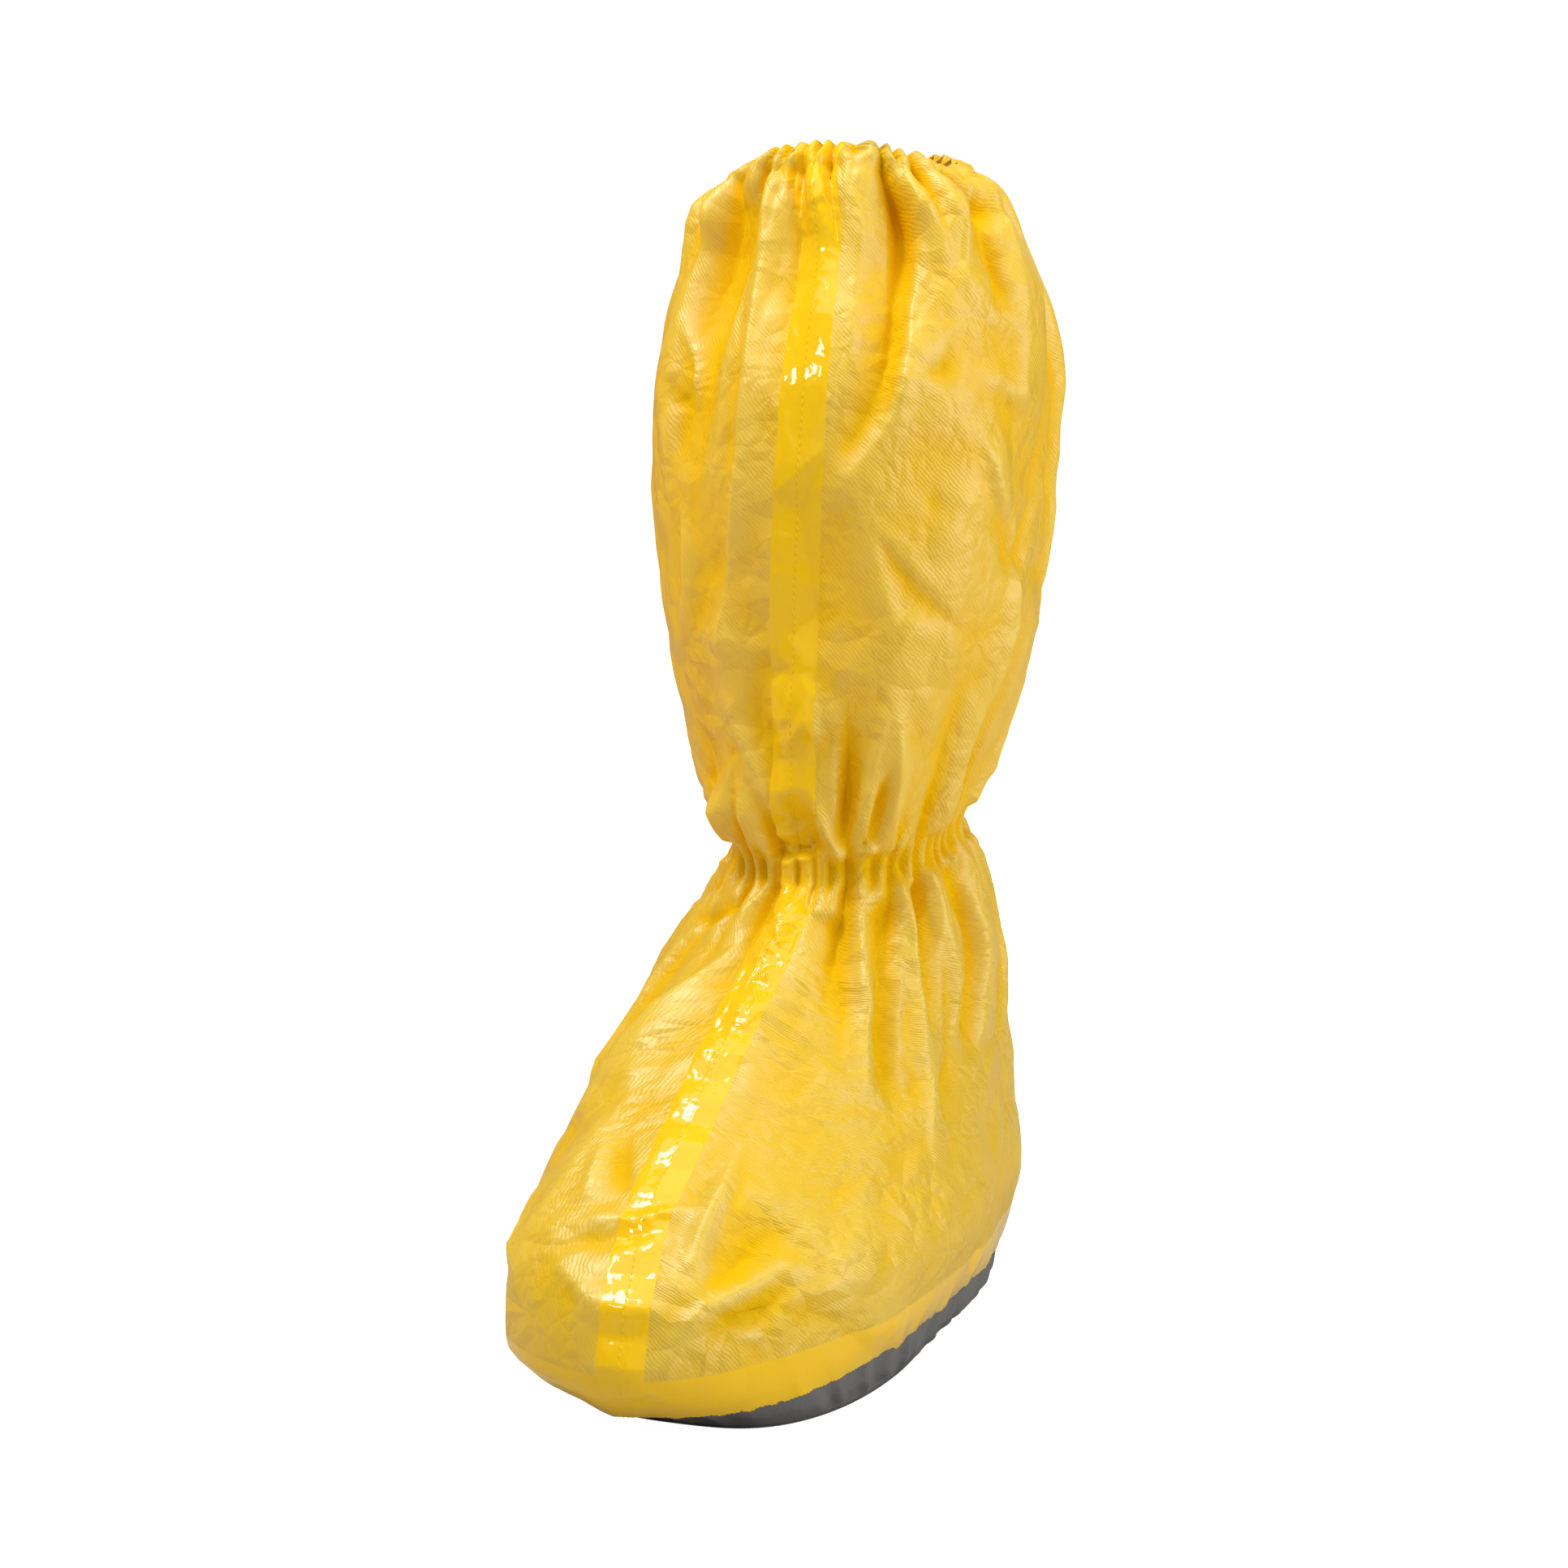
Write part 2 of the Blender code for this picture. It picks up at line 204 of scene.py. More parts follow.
# The main folds of the photo, each along a path of turns from the toe, in degrees, and section levels. A
# fold that comes out of a gather starts there. left and right are its half widths towards lower and higher
# turns, and height is above zero for a ridge and below for a trough, all in millimetres. crisp is 1 for a
# sharp crest and 0 for a soft one.
Fold = namedtuple("Fold", "path left right height crisp")
FOLDS = (
    # Ridge of the front seam under its tape
    Fold(((-1, 14.9), (0, 13.5), (0, 12), (0, 10.4)), 12, 12, 0.6, 0),
    Fold(((0, 7.8), (0, 6.5), (0, 5.2), (0, 4.2)), 12, 12, 0.5, 0),
    # Shaft, left of the tape
    Fold(((-49, 15.1), (-50, 14.8), (-53, 14.3), (-51, 13.9)), 6, 5, 3.6, 0.2),
    Fold(((-30, 15), (-33, 14.4), (-37, 13.9), (-40, 13.4), (-38, 12.8), (-36, 12.2)), 12, 9, -5.5, 0),
    Fold(((-20, 15.1), (-22, 14.4), (-20, 13.7), (-18, 13.2), (-18, 12.7), (-21, 12.2), (-28, 11.6)),
         4, 18, 3.4, 1),
    Fold(((-6, 15), (-11, 14.4), (-13, 14), (-10, 13.7)), 6, 6, 2.4, 0.2),
    Fold(((-13, 15), (-17, 14.4), (-20, 14)), 2.5, 2.5, -2.2, 0.5),
    Fold(((-66, 14.9), (-70, 14.3), (-72, 13.7)), 6, 5, 3, 0.4),
    Fold(((-58, 13.5), (-46, 13.2), (-43, 12.9)), 3, 8, 1.6, 1),
    Fold(((-58, 13.1), (-48, 12.9), (-46, 12.6)), 4, 6, -1.8, 0.3),
    Fold(((-44, 12.5), (-40, 12.1), (-48, 11.7)), 4, 8, 1.6, 1),
    # Shaft, right of the tape
    Fold(((38, 15.2), (38, 14.6), (36, 14.1), (32, 13.7), (29, 13.3), (26, 13), (17, 12.7), (7, 12.5)),
         4.5, 20, 3.4, 1),
    Fold(((31, 15.3), (31, 14.7), (29, 14.2), (25, 13.7), (23, 13.3), (19, 13), (10, 12.7)), 8, 6, -4.6, 0),
    Fold(((27, 15.1), (27, 14.6), (24, 14.1), (22, 13.6)), 12, 3, 1.8, 1),
    Fold(((66, 15.2), (61, 14.6), (53, 14.1), (49, 13.6)), 12, 3, 2.6, 1),
    Fold(((73, 15.2), (72, 14.7), (74, 14.4), (81, 14.1)), 5, 7, -5, 0),
    Fold(((92, 15.1), (90, 14.7), (94, 14.2)), 8, 6, 2.8, 0.5),
    Fold(((43, 14.5), (50, 14.4)), 2, 4, -1.2, 0.6),
    Fold(((62, 14), (65, 13.7), (60, 13.5)), 3, 6, -1.8, 0.5),
    Fold(((50, 13.2), (63, 13.1), (80, 13)), 4, 10, 1.6, 1),
    Fold(((52, 12.9), (57, 12.7), (63, 12.5), (72, 12.4)), 4, 12, 2.2, 1),
    Fold(((44, 13.4), (38, 13.2), (32, 13.2)), 4, 6, -1.4, 0.3),
    Fold(((60, 12.5), (74, 12.2), (90, 12.4)), 6, 6, -2, 0.3),
    Fold(((68, 10.2), (70, 10.8), (68, 11.3), (72, 11.6), (76, 12), (74, 12.4)), 12, 4, 2.8, 1),
    Fold(((80, 10.5), (80, 11), (83, 11.5), (88, 12)), 5, 8, -3, 0),
    # Shaft, above the ankle
    Fold(((22, 10.1), (17, 10.5), (12, 10.8), (5, 11.3)), 6, 3, 2.2, 1),
    Fold(((22, 10.1), (26, 10.6), (28, 11.1), (31, 11.7)), 3, 6, 2.4, 1),
    Fold(((24, 10.5), (22, 11.1), (18, 11.6)), 3, 3, -2.6, 0.2),
    Fold(((35, 10.2), (31, 10.7), (32, 11.3)), 5, 3, 2, 1),
    Fold(((31, 10.4), (33, 10.9), (35, 11.3)), 3, 3, -2.4, 0.2),
    Fold(((44, 10.1), (39, 11), (35, 11.6)), 5, 6, 2, 0.8),
    Fold(((-7, 10.4), (-11, 11), (-17, 11.3), (-27, 11.6)), 4, 8, 2.6, 1),
    Fold(((2, 10.2), (0, 10.6), (-4, 11.1)), 8, 8, -4, 0),
    Fold(((12, 11.4), (0, 11.5), (-13, 11.5)), 10, 10, 3, 0),
    Fold(((-40, 10.2), (-38, 10.7), (-38, 11.1)), 4, 4, 2, 0.6),
    Fold(((104, 10.3), (104, 10.7), (102, 11.2)), 6, 4, 2.4, 0.8),
    # Foot, left of the tape
    Fold(((-11, 7.5), (-18, 7.1), (-24, 6.8), (-30, 6.6), (-40, 6.2), (-47, 5.7), (-56, 5.2)),
         5, 18, 3.2, 1),
    Fold(((-30, 7.6), (-40, 7.4), (-56, 7.3)), 4, 4, -2, 0.3),
    Fold(((-52, 7.7), (-62, 7.5), (-71, 7.4)), 4, 4, -2, 0.3),
    Fold(((-46, 4.9), (-42, 4.4), (-36, 4)), 4, 6, 1.4, 0.8),
    # Foot, right of the tape
    Fold(((27, 8), (32, 7.6), (36, 7.2), (42, 6.8), (46, 6.5), (52, 5.9)), 3, 10, 2, 1),
    Fold(((22, 7.6), (27, 7.2), (34, 6.8), (42, 6.2)), 7, 5, -2.4, 0),
    Fold(((46, 8), (52, 7.5), (58, 7), (63, 6.6), (68, 6.2), (74, 5.6), (77, 4.8)), 4, 14, 3.2, 1),
    Fold(((40, 7.7), (44, 7.1), (48, 6.8), (55, 6.3), (64, 5.7)), 6, 5, -3.2, 0),
    Fold(((64, 8), (67, 7.4), (72, 7), (77, 6.7), (82, 6.3), (86, 5.6)), 4, 12, 2.6, 1),
    Fold(((58, 7.8), (60, 7.2), (66, 6.7), (74, 6)), 6, 5, -2.8, 0),
    Fold(((85, 8), (92, 7.2), (97, 6.6), (98, 5.8)), 4, 12, 2.6, 1),
    Fold(((79, 7.8), (87, 7.2), (91, 6.6), (92, 5.8)), 6, 5, -2.6, 0),
    Fold(((110, 8), (117, 7.1), (117, 6.4), (113, 5.5)), 4, 12, 2.6, 1),
    Fold(((76, 6.3), (84, 5.9), (79, 5.6), (82, 5.2)), 4, 6, -1.2, 0.5),
    # Toe
    Fold(((18, 5.8), (18, 5.4), (17, 5.1), (16, 4.7), (17, 4.1)), 6, 3.5, 2.6, 1),
    Fold(((34, 5), (29, 4.8), (24, 4.6), (20, 4.3)), 8, 8, -2.2, 0),
    Fold(((8, 3), (15, 3.8), (18, 4.1), (25, 4.3), (34, 4.5), (44, 4.5)), 5, 5, 1.8, 0.7),
    Fold(((18, 3.7), (25, 3.9), (32, 4.1), (39, 4.3)), 5, 5, -1.8, 0),
    Fold(((-24, 4.5), (-14, 4.7), (-4, 4.8), (6, 4.9)), 6, 4, -1.4, 0.2),
    Fold(((-22, 4.7), (-12, 4.9), (0, 5), (10, 5.1), (17, 5.1)), 4, 6, 1.2, 1),
    Fold(((-22, 4.4), (-12, 4.2), (-4, 4)), 4, 5, 1.4, 1),
    Fold(((-20, 5.7), (-14, 5.4), (-8, 5.2)), 3, 3, -1.4, 0.5),
    Fold(((-24, 5.6), (-21, 5.3), (-19, 5)), 3, 6, 1.4, 1),
    Fold(((22, 3.8), (30, 3.6), (36, 3.3)), 3, 4, 1, 1),
    # Inner side and back, which the photo hides
    Fold(((-38, 8), (-48, 7.2), (-58, 6.4), (-66, 5.2)), 10, 4, 1.5, 1),
    Fold(((-62, 8), (-72, 7), (-80, 6), (-86, 4.8)), 12, 4, 1.6, 1),
    Fold(((-67, 7.8), (-79, 6.8), (-88, 5.8)), 5, 6, -2.8, 0),
    Fold(((-90, 8), (-98, 7), (-102, 6), (-104, 4.8)), 12, 4, 2.8, 1),
    Fold(((-96, 7.8), (-106, 6.8), (-110, 5.8)), 5, 6, -2.8, 0),
    Fold(((-120, 8), (-125, 6.6), (-127, 5)), 12, 4, 2.6, 1),
    Fold(((136, 8), (140, 6.6), (142, 5)), 4, 12, 2.6, 1),
    Fold(((158, 8), (160, 6.6), (162, 5.2)), 6, 6, -3.4, 0),
    Fold(((-152, 8), (-154, 6.6), (-152, 5.2)), 6, 6, -3.4, 0),
    Fold(((-88, 15), (-90, 14.2), (-94, 13.2), (-92, 12.2), (-86, 11.4)), 16, 5, 3.2, 1),
    Fold(((-104, 15), (-108, 14), (-108, 12.8), (-100, 11.6)), 8, 8, -5, 0),
    Fold(((-130, 15), (-138, 13.8), (-140, 12.6), (-132, 11.6)), 5, 16, 3.2, 1),
    Fold(((-146, 15), (-152, 13.8), (-152, 12.6)), 8, 8, -4.5, 0),
    Fold(((176, 15), (172, 13.8), (170, 12.6), (176, 11.4)), 5, 16, 3, 1),
    Fold(((164, 15), (160, 13.8), (160, 12.6)), 8, 8, -4.5, 0),
    Fold(((146, 15), (140, 13.8), (136, 12.6), (140, 11.4)), 16, 5, 3, 1),
    Fold(((114, 15), (118, 13.8), (116, 12.6), (110, 11.4)), 5, 14, 3, 1),
    Fold(((106, 15), (108, 14), (106, 13)), 7, 7, -4, 0),
    # Pleats at the back above the ankle
    *[Fold(((low, 10.2), (middle, 10.9), (high, 11.5)), 5, 5, 2.4, 0.8) for low, middle, high in (
        (-170, -166, -164), (-140, -136, -134), (-108, -106, -102),
        (-76, -72, -74), (140, 136, 138), (166, 168, 164))],
)

# How far all folds are taken, the most that they stand out and sink in together, the reach of a fold over
# its half width, and the knots to each point of its path
FOLD_DEPTH = 2.4
RIDGE_LIMIT = 0.0065
TROUGH_LIMIT = 0.0130
FOLD_REACH = 1.8
FOLD_KNOTS = 4

# The share of a fold's path where it rises or dies out, the share where it rises out of a gather, the
# levels of the gathers, how near in levels it then starts, the rows where folds fade out below the hem, and
# those where all relief fades out above the seam of the sole
FREE_TAPER = 0.35
GATHERED_TAPER = 0.08
GATHERED_LEVELS = (LEVEL["ankle_low"], LEVEL["ankle_high"], LEVEL["hem"])
GATHERED_NEAR = 0.5
HEM_FADE = 6.0
SEAM_FADE = 6.0

# Crumple of the whole fabric, in layers of flat three-cornered facets: their size across and along, the
# height of their corners and a seed. The last value is the girth that sets how many go round.
Facets = namedtuple("Facets", "across along height seed")
FACETS = (
    Facets(0.046, 0.080, 0.0030, 71),
    Facets(0.021, 0.034, 0.0013, 72),
    Facets(0.010, 0.014, 0.00040, 73),
)
MEAN_GIRTH = 0.44

# Painted light and shade of the crests: crests are painted paler, as if lit, and hollows deeper, as painted
# shade. The rows and columns that a crest is set against, near and wide, its height against each, and the
# value of even fabric
CREST_NEAR = (2.0, 4.0)
CREST_WIDE = (6.0, 12.0)
CREST_HEIGHT = 0.0016
WIDE_HEIGHT = 0.0048
EVEN_SHADE = 0.5

# Rows on each side of the ankle that keep their height on the skin
ANKLE_LEVEL = 6.0

# Painted shade at the gathers: how much deeper the colour is painted there, and the rows that this reaches
GATHER_SHADE = {"ankle": 0.48, "rim": 0.30}
GATHER_ROWS = 9.0

# Gathers at an elastic: ruffles round the boot, their height, the heights of pleats and folds as shares of
# that, the half height of the band that ruffles fill, how far they reach past it, and a seed. Two ruffles
# run together into one pleat further away, and two of those into one fold.
Gather = namedtuple("Gather", "level ruffles height pleat fold band reach seed")
GATHERS = (
    Gather("ankle", 44, 0.0034, 1.4, 0.9, 0.0040, 0.0065, 11),
    Gather("rim", 36, 0.0038, 2.0, 1.7, 0.0060, 0.0070, 12),
)

# How fast ruffles fade past their band, and where pleats and folds are highest, in reaches
RUFFLE_FADE = 1.5
PLEAT_PEAK = 1.5
FOLD_PEAK = 4.0

# Unevenness of the ruffles: the waves round the boot that shift them and how far, those that change their
# size and by how much, and the range in which a wave starts
SHIFT_WAVES = (2, 3, 5, 7, 11)
SHIFT_SIZE = (0.3, 1.0)
SIZE_WAVES = (3, 5, 8, 13)
SIZE_CHANGE = 0.15
WAVE_START = 6.3

# Channel of the hem: its puff, the depth of the seam below it, and the rows that the seam takes
CHANNEL_PUFF = 0.0012
CHANNEL_SEAM = 0.0010
CHANNEL_ROWS = 1.2

# Zones of small creases: the middle and reach in degrees and levels, how many, their length and height, the
# slope of their lines from level and its spread, in degrees, and a seed
Zone = namedtuple("Zone", "turn turn_reach level level_reach creases length height slope spread seed")
ZONES = (
    Zone(48, 26, 12.0, 0.5, 40, 0.024, 0.0007, 20, 90, 51),
    Zone(75, 18, 13.2, 0.5, 24, 0.020, 0.0007, 0, 40, 52),
    Zone(-48, 20, 12.2, 0.9, 24, 0.024, 0.0006, 60, 90, 53),
    Zone(-24, 18, 4.5, 0.6, 20, 0.024, 0.0008, 30, 90, 54),
    Zone(30, 20, 4.6, 0.7, 20, 0.026, 0.0007, -40, 60, 55),
    Zone(0, 60, 11.2, 0.5, 30, 0.020, 0.0007, 70, 40, 60),
    Zone(0, 180, 14.5, 0.4, 60, 0.018, 0.0008, 85, 35, 63),
)

# Small creases: the spread of their length and height, the widths of the steep and the gentle side, the
# margin round them in gentle widths, the bend of their lines and their sharpness
CREASE_LENGTH = (0.5, 1.4)
CREASE_HEIGHT = (0.4, 1.0)
CREASE_STEEP = (0.0016, 0.0032)
CREASE_GENTLE = (0.004, 0.010)
CREASE_MARGIN = 2.5
CREASE_BEND = 6.0
CREASE_SHARP = 1.5

# Random fields: the spread of their waves, and the least frequency kept, both against the wave length
NOISE_BAND = 0.45
NOISE_LEAST = 0.2

# The camera stands where the photo's camera stood, and looks at the middle of the boot
CAMERA_AZIMUTH = 21.45
CAMERA_DISTANCE = 1.894
CAMERA_HEIGHT = 0.572
CAMERA_AIM = (-0.0075, 0.010, 0.230)
CAMERA_LENS = 108.5
SENSOR_WIDTH = 36.0

# Colours, linear
WHITE = (1.0, 1.0, 1.0)
FABRIC_COLOUR = (0.90, 0.590, 0.020)
# The fabric's pale tone is a painted highlight on crests, and its deep tone painted shade in hollows and
# gathers; a random mottle also moves the fabric between them.
FABRIC_PALE_HIGHLIGHT = (0.93, 0.655, 0.056)
FABRIC_DEEP_SHADE = (0.95, 0.58, 0.005)
FABRIC_GLOW = (0.93, 0.57, 0.004)
TAPE_COLOUR = (0.90, 0.54, 0.004)
SOLE_COLOUR = (0.175, 0.172, 0.165)
SOLE_DARK = (0.12, 0.118, 0.115)
ELASTIC_COLOUR = (0.80, 0.58, 0.15)
ELASTIC_DARK = (0.70, 0.46, 0.09)
FLOOR_COLOUR = (0.50, 0.50, 0.50)

# Fabric: the share of light that comes through, roughness, gloss, which rises with the crest to a limit so
# that hollows get painted shade in their reflections, and the mottling of its colour
FABRIC_THIN = 0.22
FABRIC_ROUGH = 0.40
GLOSS_RISE = 1.75
GLOSS_MOST = 0.9
MOTTLE_WAVES = 14.0
MOTTLE_SIZE = 0.5

# Bump of the fabric: facets and crinkles by waves to the metre and height, the bend of a facet's edges and
# the patches that facets fill, both by waves to a facet, and the lines of the emboss, which wander and fade
FABRIC_FACETS = ((48.0, 0.0032), (130.0, 0.0010))
CRINKLE_WAVES = 150.0
CRINKLE_HEIGHT = 0.00030
BEND_WAVES = 0.6
BEND_SIZE = 0.5
PATCH_WAVES = 0.3
PATCH_START = 0.35
PATCH_FULL = 0.6
EMBOSS_LINE = (0.7071, 0.7071, 0.0)
EMBOSS_PITCH = 0.0014
EMBOSS_HEIGHT = 0.00007
EMBOSS_PATCHES = 45.0
WANDER_WAVES = 160.0
WANDER_SIZE = 14.0

# Tape: roughness, gloss and clear coat, its dents, and the crinkles that glint where it is gathered
TAPE_ROUGH = 0.30
TAPE_SPECULAR = 0.05
TAPE_COAT = 0.60
TAPE_COAT_ROUGH = 0.05
DENT_WAVES = 90.0
DENT_HEIGHT = 0.0006
GLINT_WAVES = 120.0
GLINT_HEIGHT = 0.0024

# Sole, elastic and floor: roughness, mottling, and grain or weave
SOLE_ROUGH = 0.75
SOLE_MOTTLE = 120.0
SOLE_GRAIN = 400.0
SOLE_GRAIN_HEIGHT = 0.0003
ELASTIC_ROUGH = 0.70
ELASTIC_MOTTLE = 300.0
WEAVE_LINE = (0.0, 0.0, 1.0)
WEAVE_PITCH = 0.0010
WEAVE_HEIGHT = 0.00010
WEAVE_WANDER = 60.0
FLOOR_ROUGH = 0.9

# Studio. The two sparks are small lamps that the front tape mirrors.
Lamp = namedtuple("Lamp", "name location size power colour", defaults=(WHITE,))
LAMPS = (
    Lamp("right", (1.5, 0.0, 0.65), (1.6, 1.3), 18.0),
    Lamp("top", (-0.1, -0.25, 2.1), (2.2, 2.2), 30.0),
    Lamp("front", (0.5, -2.4, 0.9), (2.0, 1.2), 3.0),
    Lamp("back", (-0.5, 1.9, 1.0), (1.6, 1.4), 6.0),
    Lamp("left", (-0.45, -0.05, 0.27), (0.4, 0.5), 0.45, (1.0, 0.58, 0.03)),
    Lamp("spark_high", (-0.70, -0.42, 2.0), (0.45, 0.45), 16.0),
    Lamp("spark_low", (-0.95, -1.75, 1.7), (0.28, 0.28), 7.0),
)
LAMP_AIM = (0.0, 0.0, 0.25)
SURROUND = 0.13
FLOOR_GLOW = 0.95
FLOOR_REACH = 18.0
BACKDROP_CURVE = ((16.0, 0.0), (18.5, 0.25), (20.0, 0.9), (21.0, 2.2), (21.5, 5.0))
BACKDROP_SIDES = 64

# What keeps a division from zero, and the lengths below which two places are one and an edge is none
TINY = 1e-12
SAME_PLACE = 1e-6
NO_LENGTH = 1e-7

# The finished fabric with its painted light and shade, and the skin under it with the relief of its folds
Cloth = namedtuple("Cloth", "points normals rows cut levels crest")
Layout = namedtuple("Layout", "levels rows turns girth base normals across relief")


# Skin of the boot

def smooth_through(values, position):
    """Smooth monotone curve through evenly spaced values, at positions counted in values."""
    values = np.asarray(values, dtype=float)
    rises = np.diff(values)
    before, after = rises[:-1], rises[1:]
    same_way = before * after > 0.0
    inner = np.where(same_way, 2.0 * before * after / np.where(same_way, before + after, 1.0), 0.0)
    slopes = np.concatenate(([rises[0]], inner, [rises[-1]]))
    i = np.clip(np.floor(position).astype(int), 0, len(values) - 2)
    t = position - i
    blend = t * t * (3.0 - 2.0 * t)
    return values[i] + rises[i] * blend + slopes[i] * t * (1.0 - t) ** 2 - slopes[i + 1] * t * t * (1.0 - t)


def skin(turn, level):
    """Points of the smooth skin at turns from the toe, in radians, on section levels."""
    turn, level = np.broadcast_arrays(np.asarray(turn, float), np.asarray(level, float))
    columns = list(zip(*[section[1:] for section in SECTIONS]))
    s = Section("between", *[smooth_through(column, level) for column in columns])
    front, back = s.front * FOOT_LENGTH, s.back * FOOT_LENGTH
    low, high = s.front_rise * BOOT_HEIGHT, s.back_rise * BOOT_HEIGHT
    sine, cosine = np.sin(turn), np.cos(turn)
    full = 1.0 + s.full * np.sin(2.0 * turn) ** 2
    x = 0.5 * s.breadth * BALL_WIDTH * sine * (1.0 + s.egg * cosine) * full
    y = -0.5 * (back - front) * cosine * full
    z = 0.5 * (low + high) - 0.5 * (high - low) * cosine
    z = z + BOOT_HEIGHT * (s.side_rise * sine ** 2 + s.tilt * sine)
    c, n = np.cos(np.radians(s.twist)), np.sin(np.radians(s.twist))
    right, along = s.shift * BALL_WIDTH, 0.5 * (front + back)
    return np.stack([c * x - n * y + right, n * x + c * y + along, z], axis=-1)


def unit(vectors):
    """Vectors made one long."""
    return vectors / np.maximum(np.linalg.norm(vectors, axis=-1, keepdims=True), TINY)


def length_along(points):
    """Length from the first row of points to each row, the mean where a row has many points."""
    steps = np.linalg.norm(np.diff(points, axis=0), axis=-1)
    if steps.ndim > 1:
        steps = steps.mean(axis=1)
    return np.concatenate(([0.0], np.cumsum(steps)))


def grid_normals(points):
    """Unit normals of a grid of points, pointing out of the boot."""
    across = np.roll(points, -1, axis=1) - np.roll(points, 1, axis=1)
    along = np.gradient(points, axis=0)
    return unit(np.cross(across, along))


def even_levels(low, high, count):
    """Levels between two sections, evenly spaced by the length of the skin."""
    levels = np.linspace(low, high, FINE_LEVELS * count + 1)
    turns = np.linspace(0.0, 2.0 * np.pi, FINE_ROUND, endpoint=False)
    length = length_along(skin(turns[None, :], levels[:, None]))
    return np.interp(np.linspace(0.0, length[-1], count + 1), length, levels)


def even_turns(level, count):
    """Turns round one level, evenly spaced by the length of the skin, from the front, and its girth."""
    turns = np.linspace(0.0, 2.0 * np.pi, FINE_TURNS * count + 1)
    length = length_along(skin(turns, level))
    return np.interp(np.arange(count) / count * length[-1], length, turns), length[-1]


def row_levels():
    """Levels of the fabric's rows, and the row index of each named section that ends a span."""
    levels, index = [], {}
    for low, high, count in ROW_SPANS:
        index[low] = len(levels)
        levels.extend(even_levels(LEVEL[low], LEVEL[high], count)[:-1])
    index[ROW_SPANS[-1][1]] = len(levels)
    levels.append(float(LEVEL[ROW_SPANS[-1][1]]))
    return np.array(levels), index


# Relief of the fabric

def path_distance(points, path):
    """Step from a path of skin points to each point, and the share of the path where it is nearest."""
    best = np.full(points.shape[:-1], np.inf)
    share = np.zeros(points.shape[:-1])
    nearest = np.zeros(points.shape)
    for i in range(len(path) - 1):
        start, step = path[i], path[i + 1] - path[i]
        t = np.clip(((points - start) @ step) / (step @ step), 0.0, 1.0)
        away = points - start - t[..., None] * step
        gap = np.einsum("ijk,ijk->ij", away, away)
        nearer = gap < best
        best = np.where(nearer, gap, best)
        share = np.where(nearer, (i + t) / (len(path) - 1), share)
        nearest = np.where(nearer[..., None], away, nearest)
    return nearest, share


def fold_relief(points, across, fold):
    """Height that one fold adds at each point of the skin."""
    knots = np.linspace(0.0, len(fold.path) - 1.0, FOLD_KNOTS * len(fold.path))
    turns = smooth_through([p[0] for p in fold.path], knots)
    levels = smooth_through([p[1] for p in fold.path], knots)
    away, share = path_distance(points, skin(np.radians(turns), levels))
    side = np.einsum("ijk,ijk->ij", away, across)
    gap = np.linalg.norm(away, axis=-1)
    blend = 0.5 + 0.5 * np.clip(side / np.maximum(gap, TINY), -1.0, 1.0)
    width = MM * (fold.left + (fold.right - fold.left) * blend)
    profile = np.clip(1.0 - gap / (FOLD_REACH * width), 0.0, 1.0) ** (1.0 + fold.crisp)
    gathered = min(abs(fold.path[0][1] - level) for level in GATHERED_LEVELS) < GATHERED_NEAR
    rise = np.clip(share / (GATHERED_TAPER if gathered else FREE_TAPER), 0.0, 1.0)
    end = np.clip((1.0 - share) / FREE_TAPER, 0.0, 1.0)
    return MM * fold.height * rise * end * profile


def ease(t):
    """Smooth step from 0 to 1."""
    t = np.clip(t, 0.0, 1.0)
    return t * t * (3.0 - 2.0 * t)


def limited(relief):
    """Relief that levels off towards its limits."""
    limit = np.where(relief > 0.0, RIDGE_LIMIT, TROUGH_LIMIT)
    return limit * np.tanh(relief / limit)


def crown(phase):
    """Wave of wide crowns with sharp valleys, about its middle."""
    return np.abs(np.sin(0.5 * phase)) - 0.5


def swell(away, peak):
    """Wave height that grows from the elastic to a peak and dies out slowly."""
    return away / peak * np.exp(1.0 - away / peak)


def gather_relief(points, rows, gather):
    """Height of the ruffles at an elastic, and of the pleats and folds that they run together into."""
    generator = np.random.default_rng(gather.seed)
    columns = points.shape[1]
    round_boot = 2.0 * np.pi * np.arange(columns) / columns
    phase = gather.ruffles * round_boot
    for waves in SHIFT_WAVES:
        shift = generator.uniform(*SHIFT_SIZE)
        phase = phase + shift * np.sin(waves * round_boot + generator.uniform(0.0, WAVE_START))
    phase = phase - phase[0] + 2.0 * np.pi
    size = 1.0
    for waves in SIZE_WAVES:
        size = size + SIZE_CHANGE * np.sin(waves * round_boot + generator.uniform(0.0, WAVE_START))
    away = np.linalg.norm(points - points[rows[gather.level]][None], axis=-1)
    away = np.maximum(away - gather.band, 0.0) / gather.reach
    ruffle = crown(phase) * np.exp(-away ** RUFFLE_FADE)
    pleat = crown(0.5 * phase) * swell(away, PLEAT_PEAK)
    fold = crown(0.25 * phase) * swell(away, FOLD_PEAK)
    return gather.height * size * (ruffle + gather.pleat * pleat + gather.fold * fold)


def channel_relief(rows, count):
    """Puff of the hem's channel on each row, and the groove of its seam below."""
    row = np.arange(count)
    share = np.clip((row - rows["hem"]) / (rows["rim"] - rows["hem"]), 0.0, 1.0)
    groove = np.exp(-((row - rows["hem"]) / CHANNEL_ROWS) ** 2)
    return (CHANNEL_PUFF * np.sin(np.pi * share) - CHANNEL_SEAM * groove)[:, None]


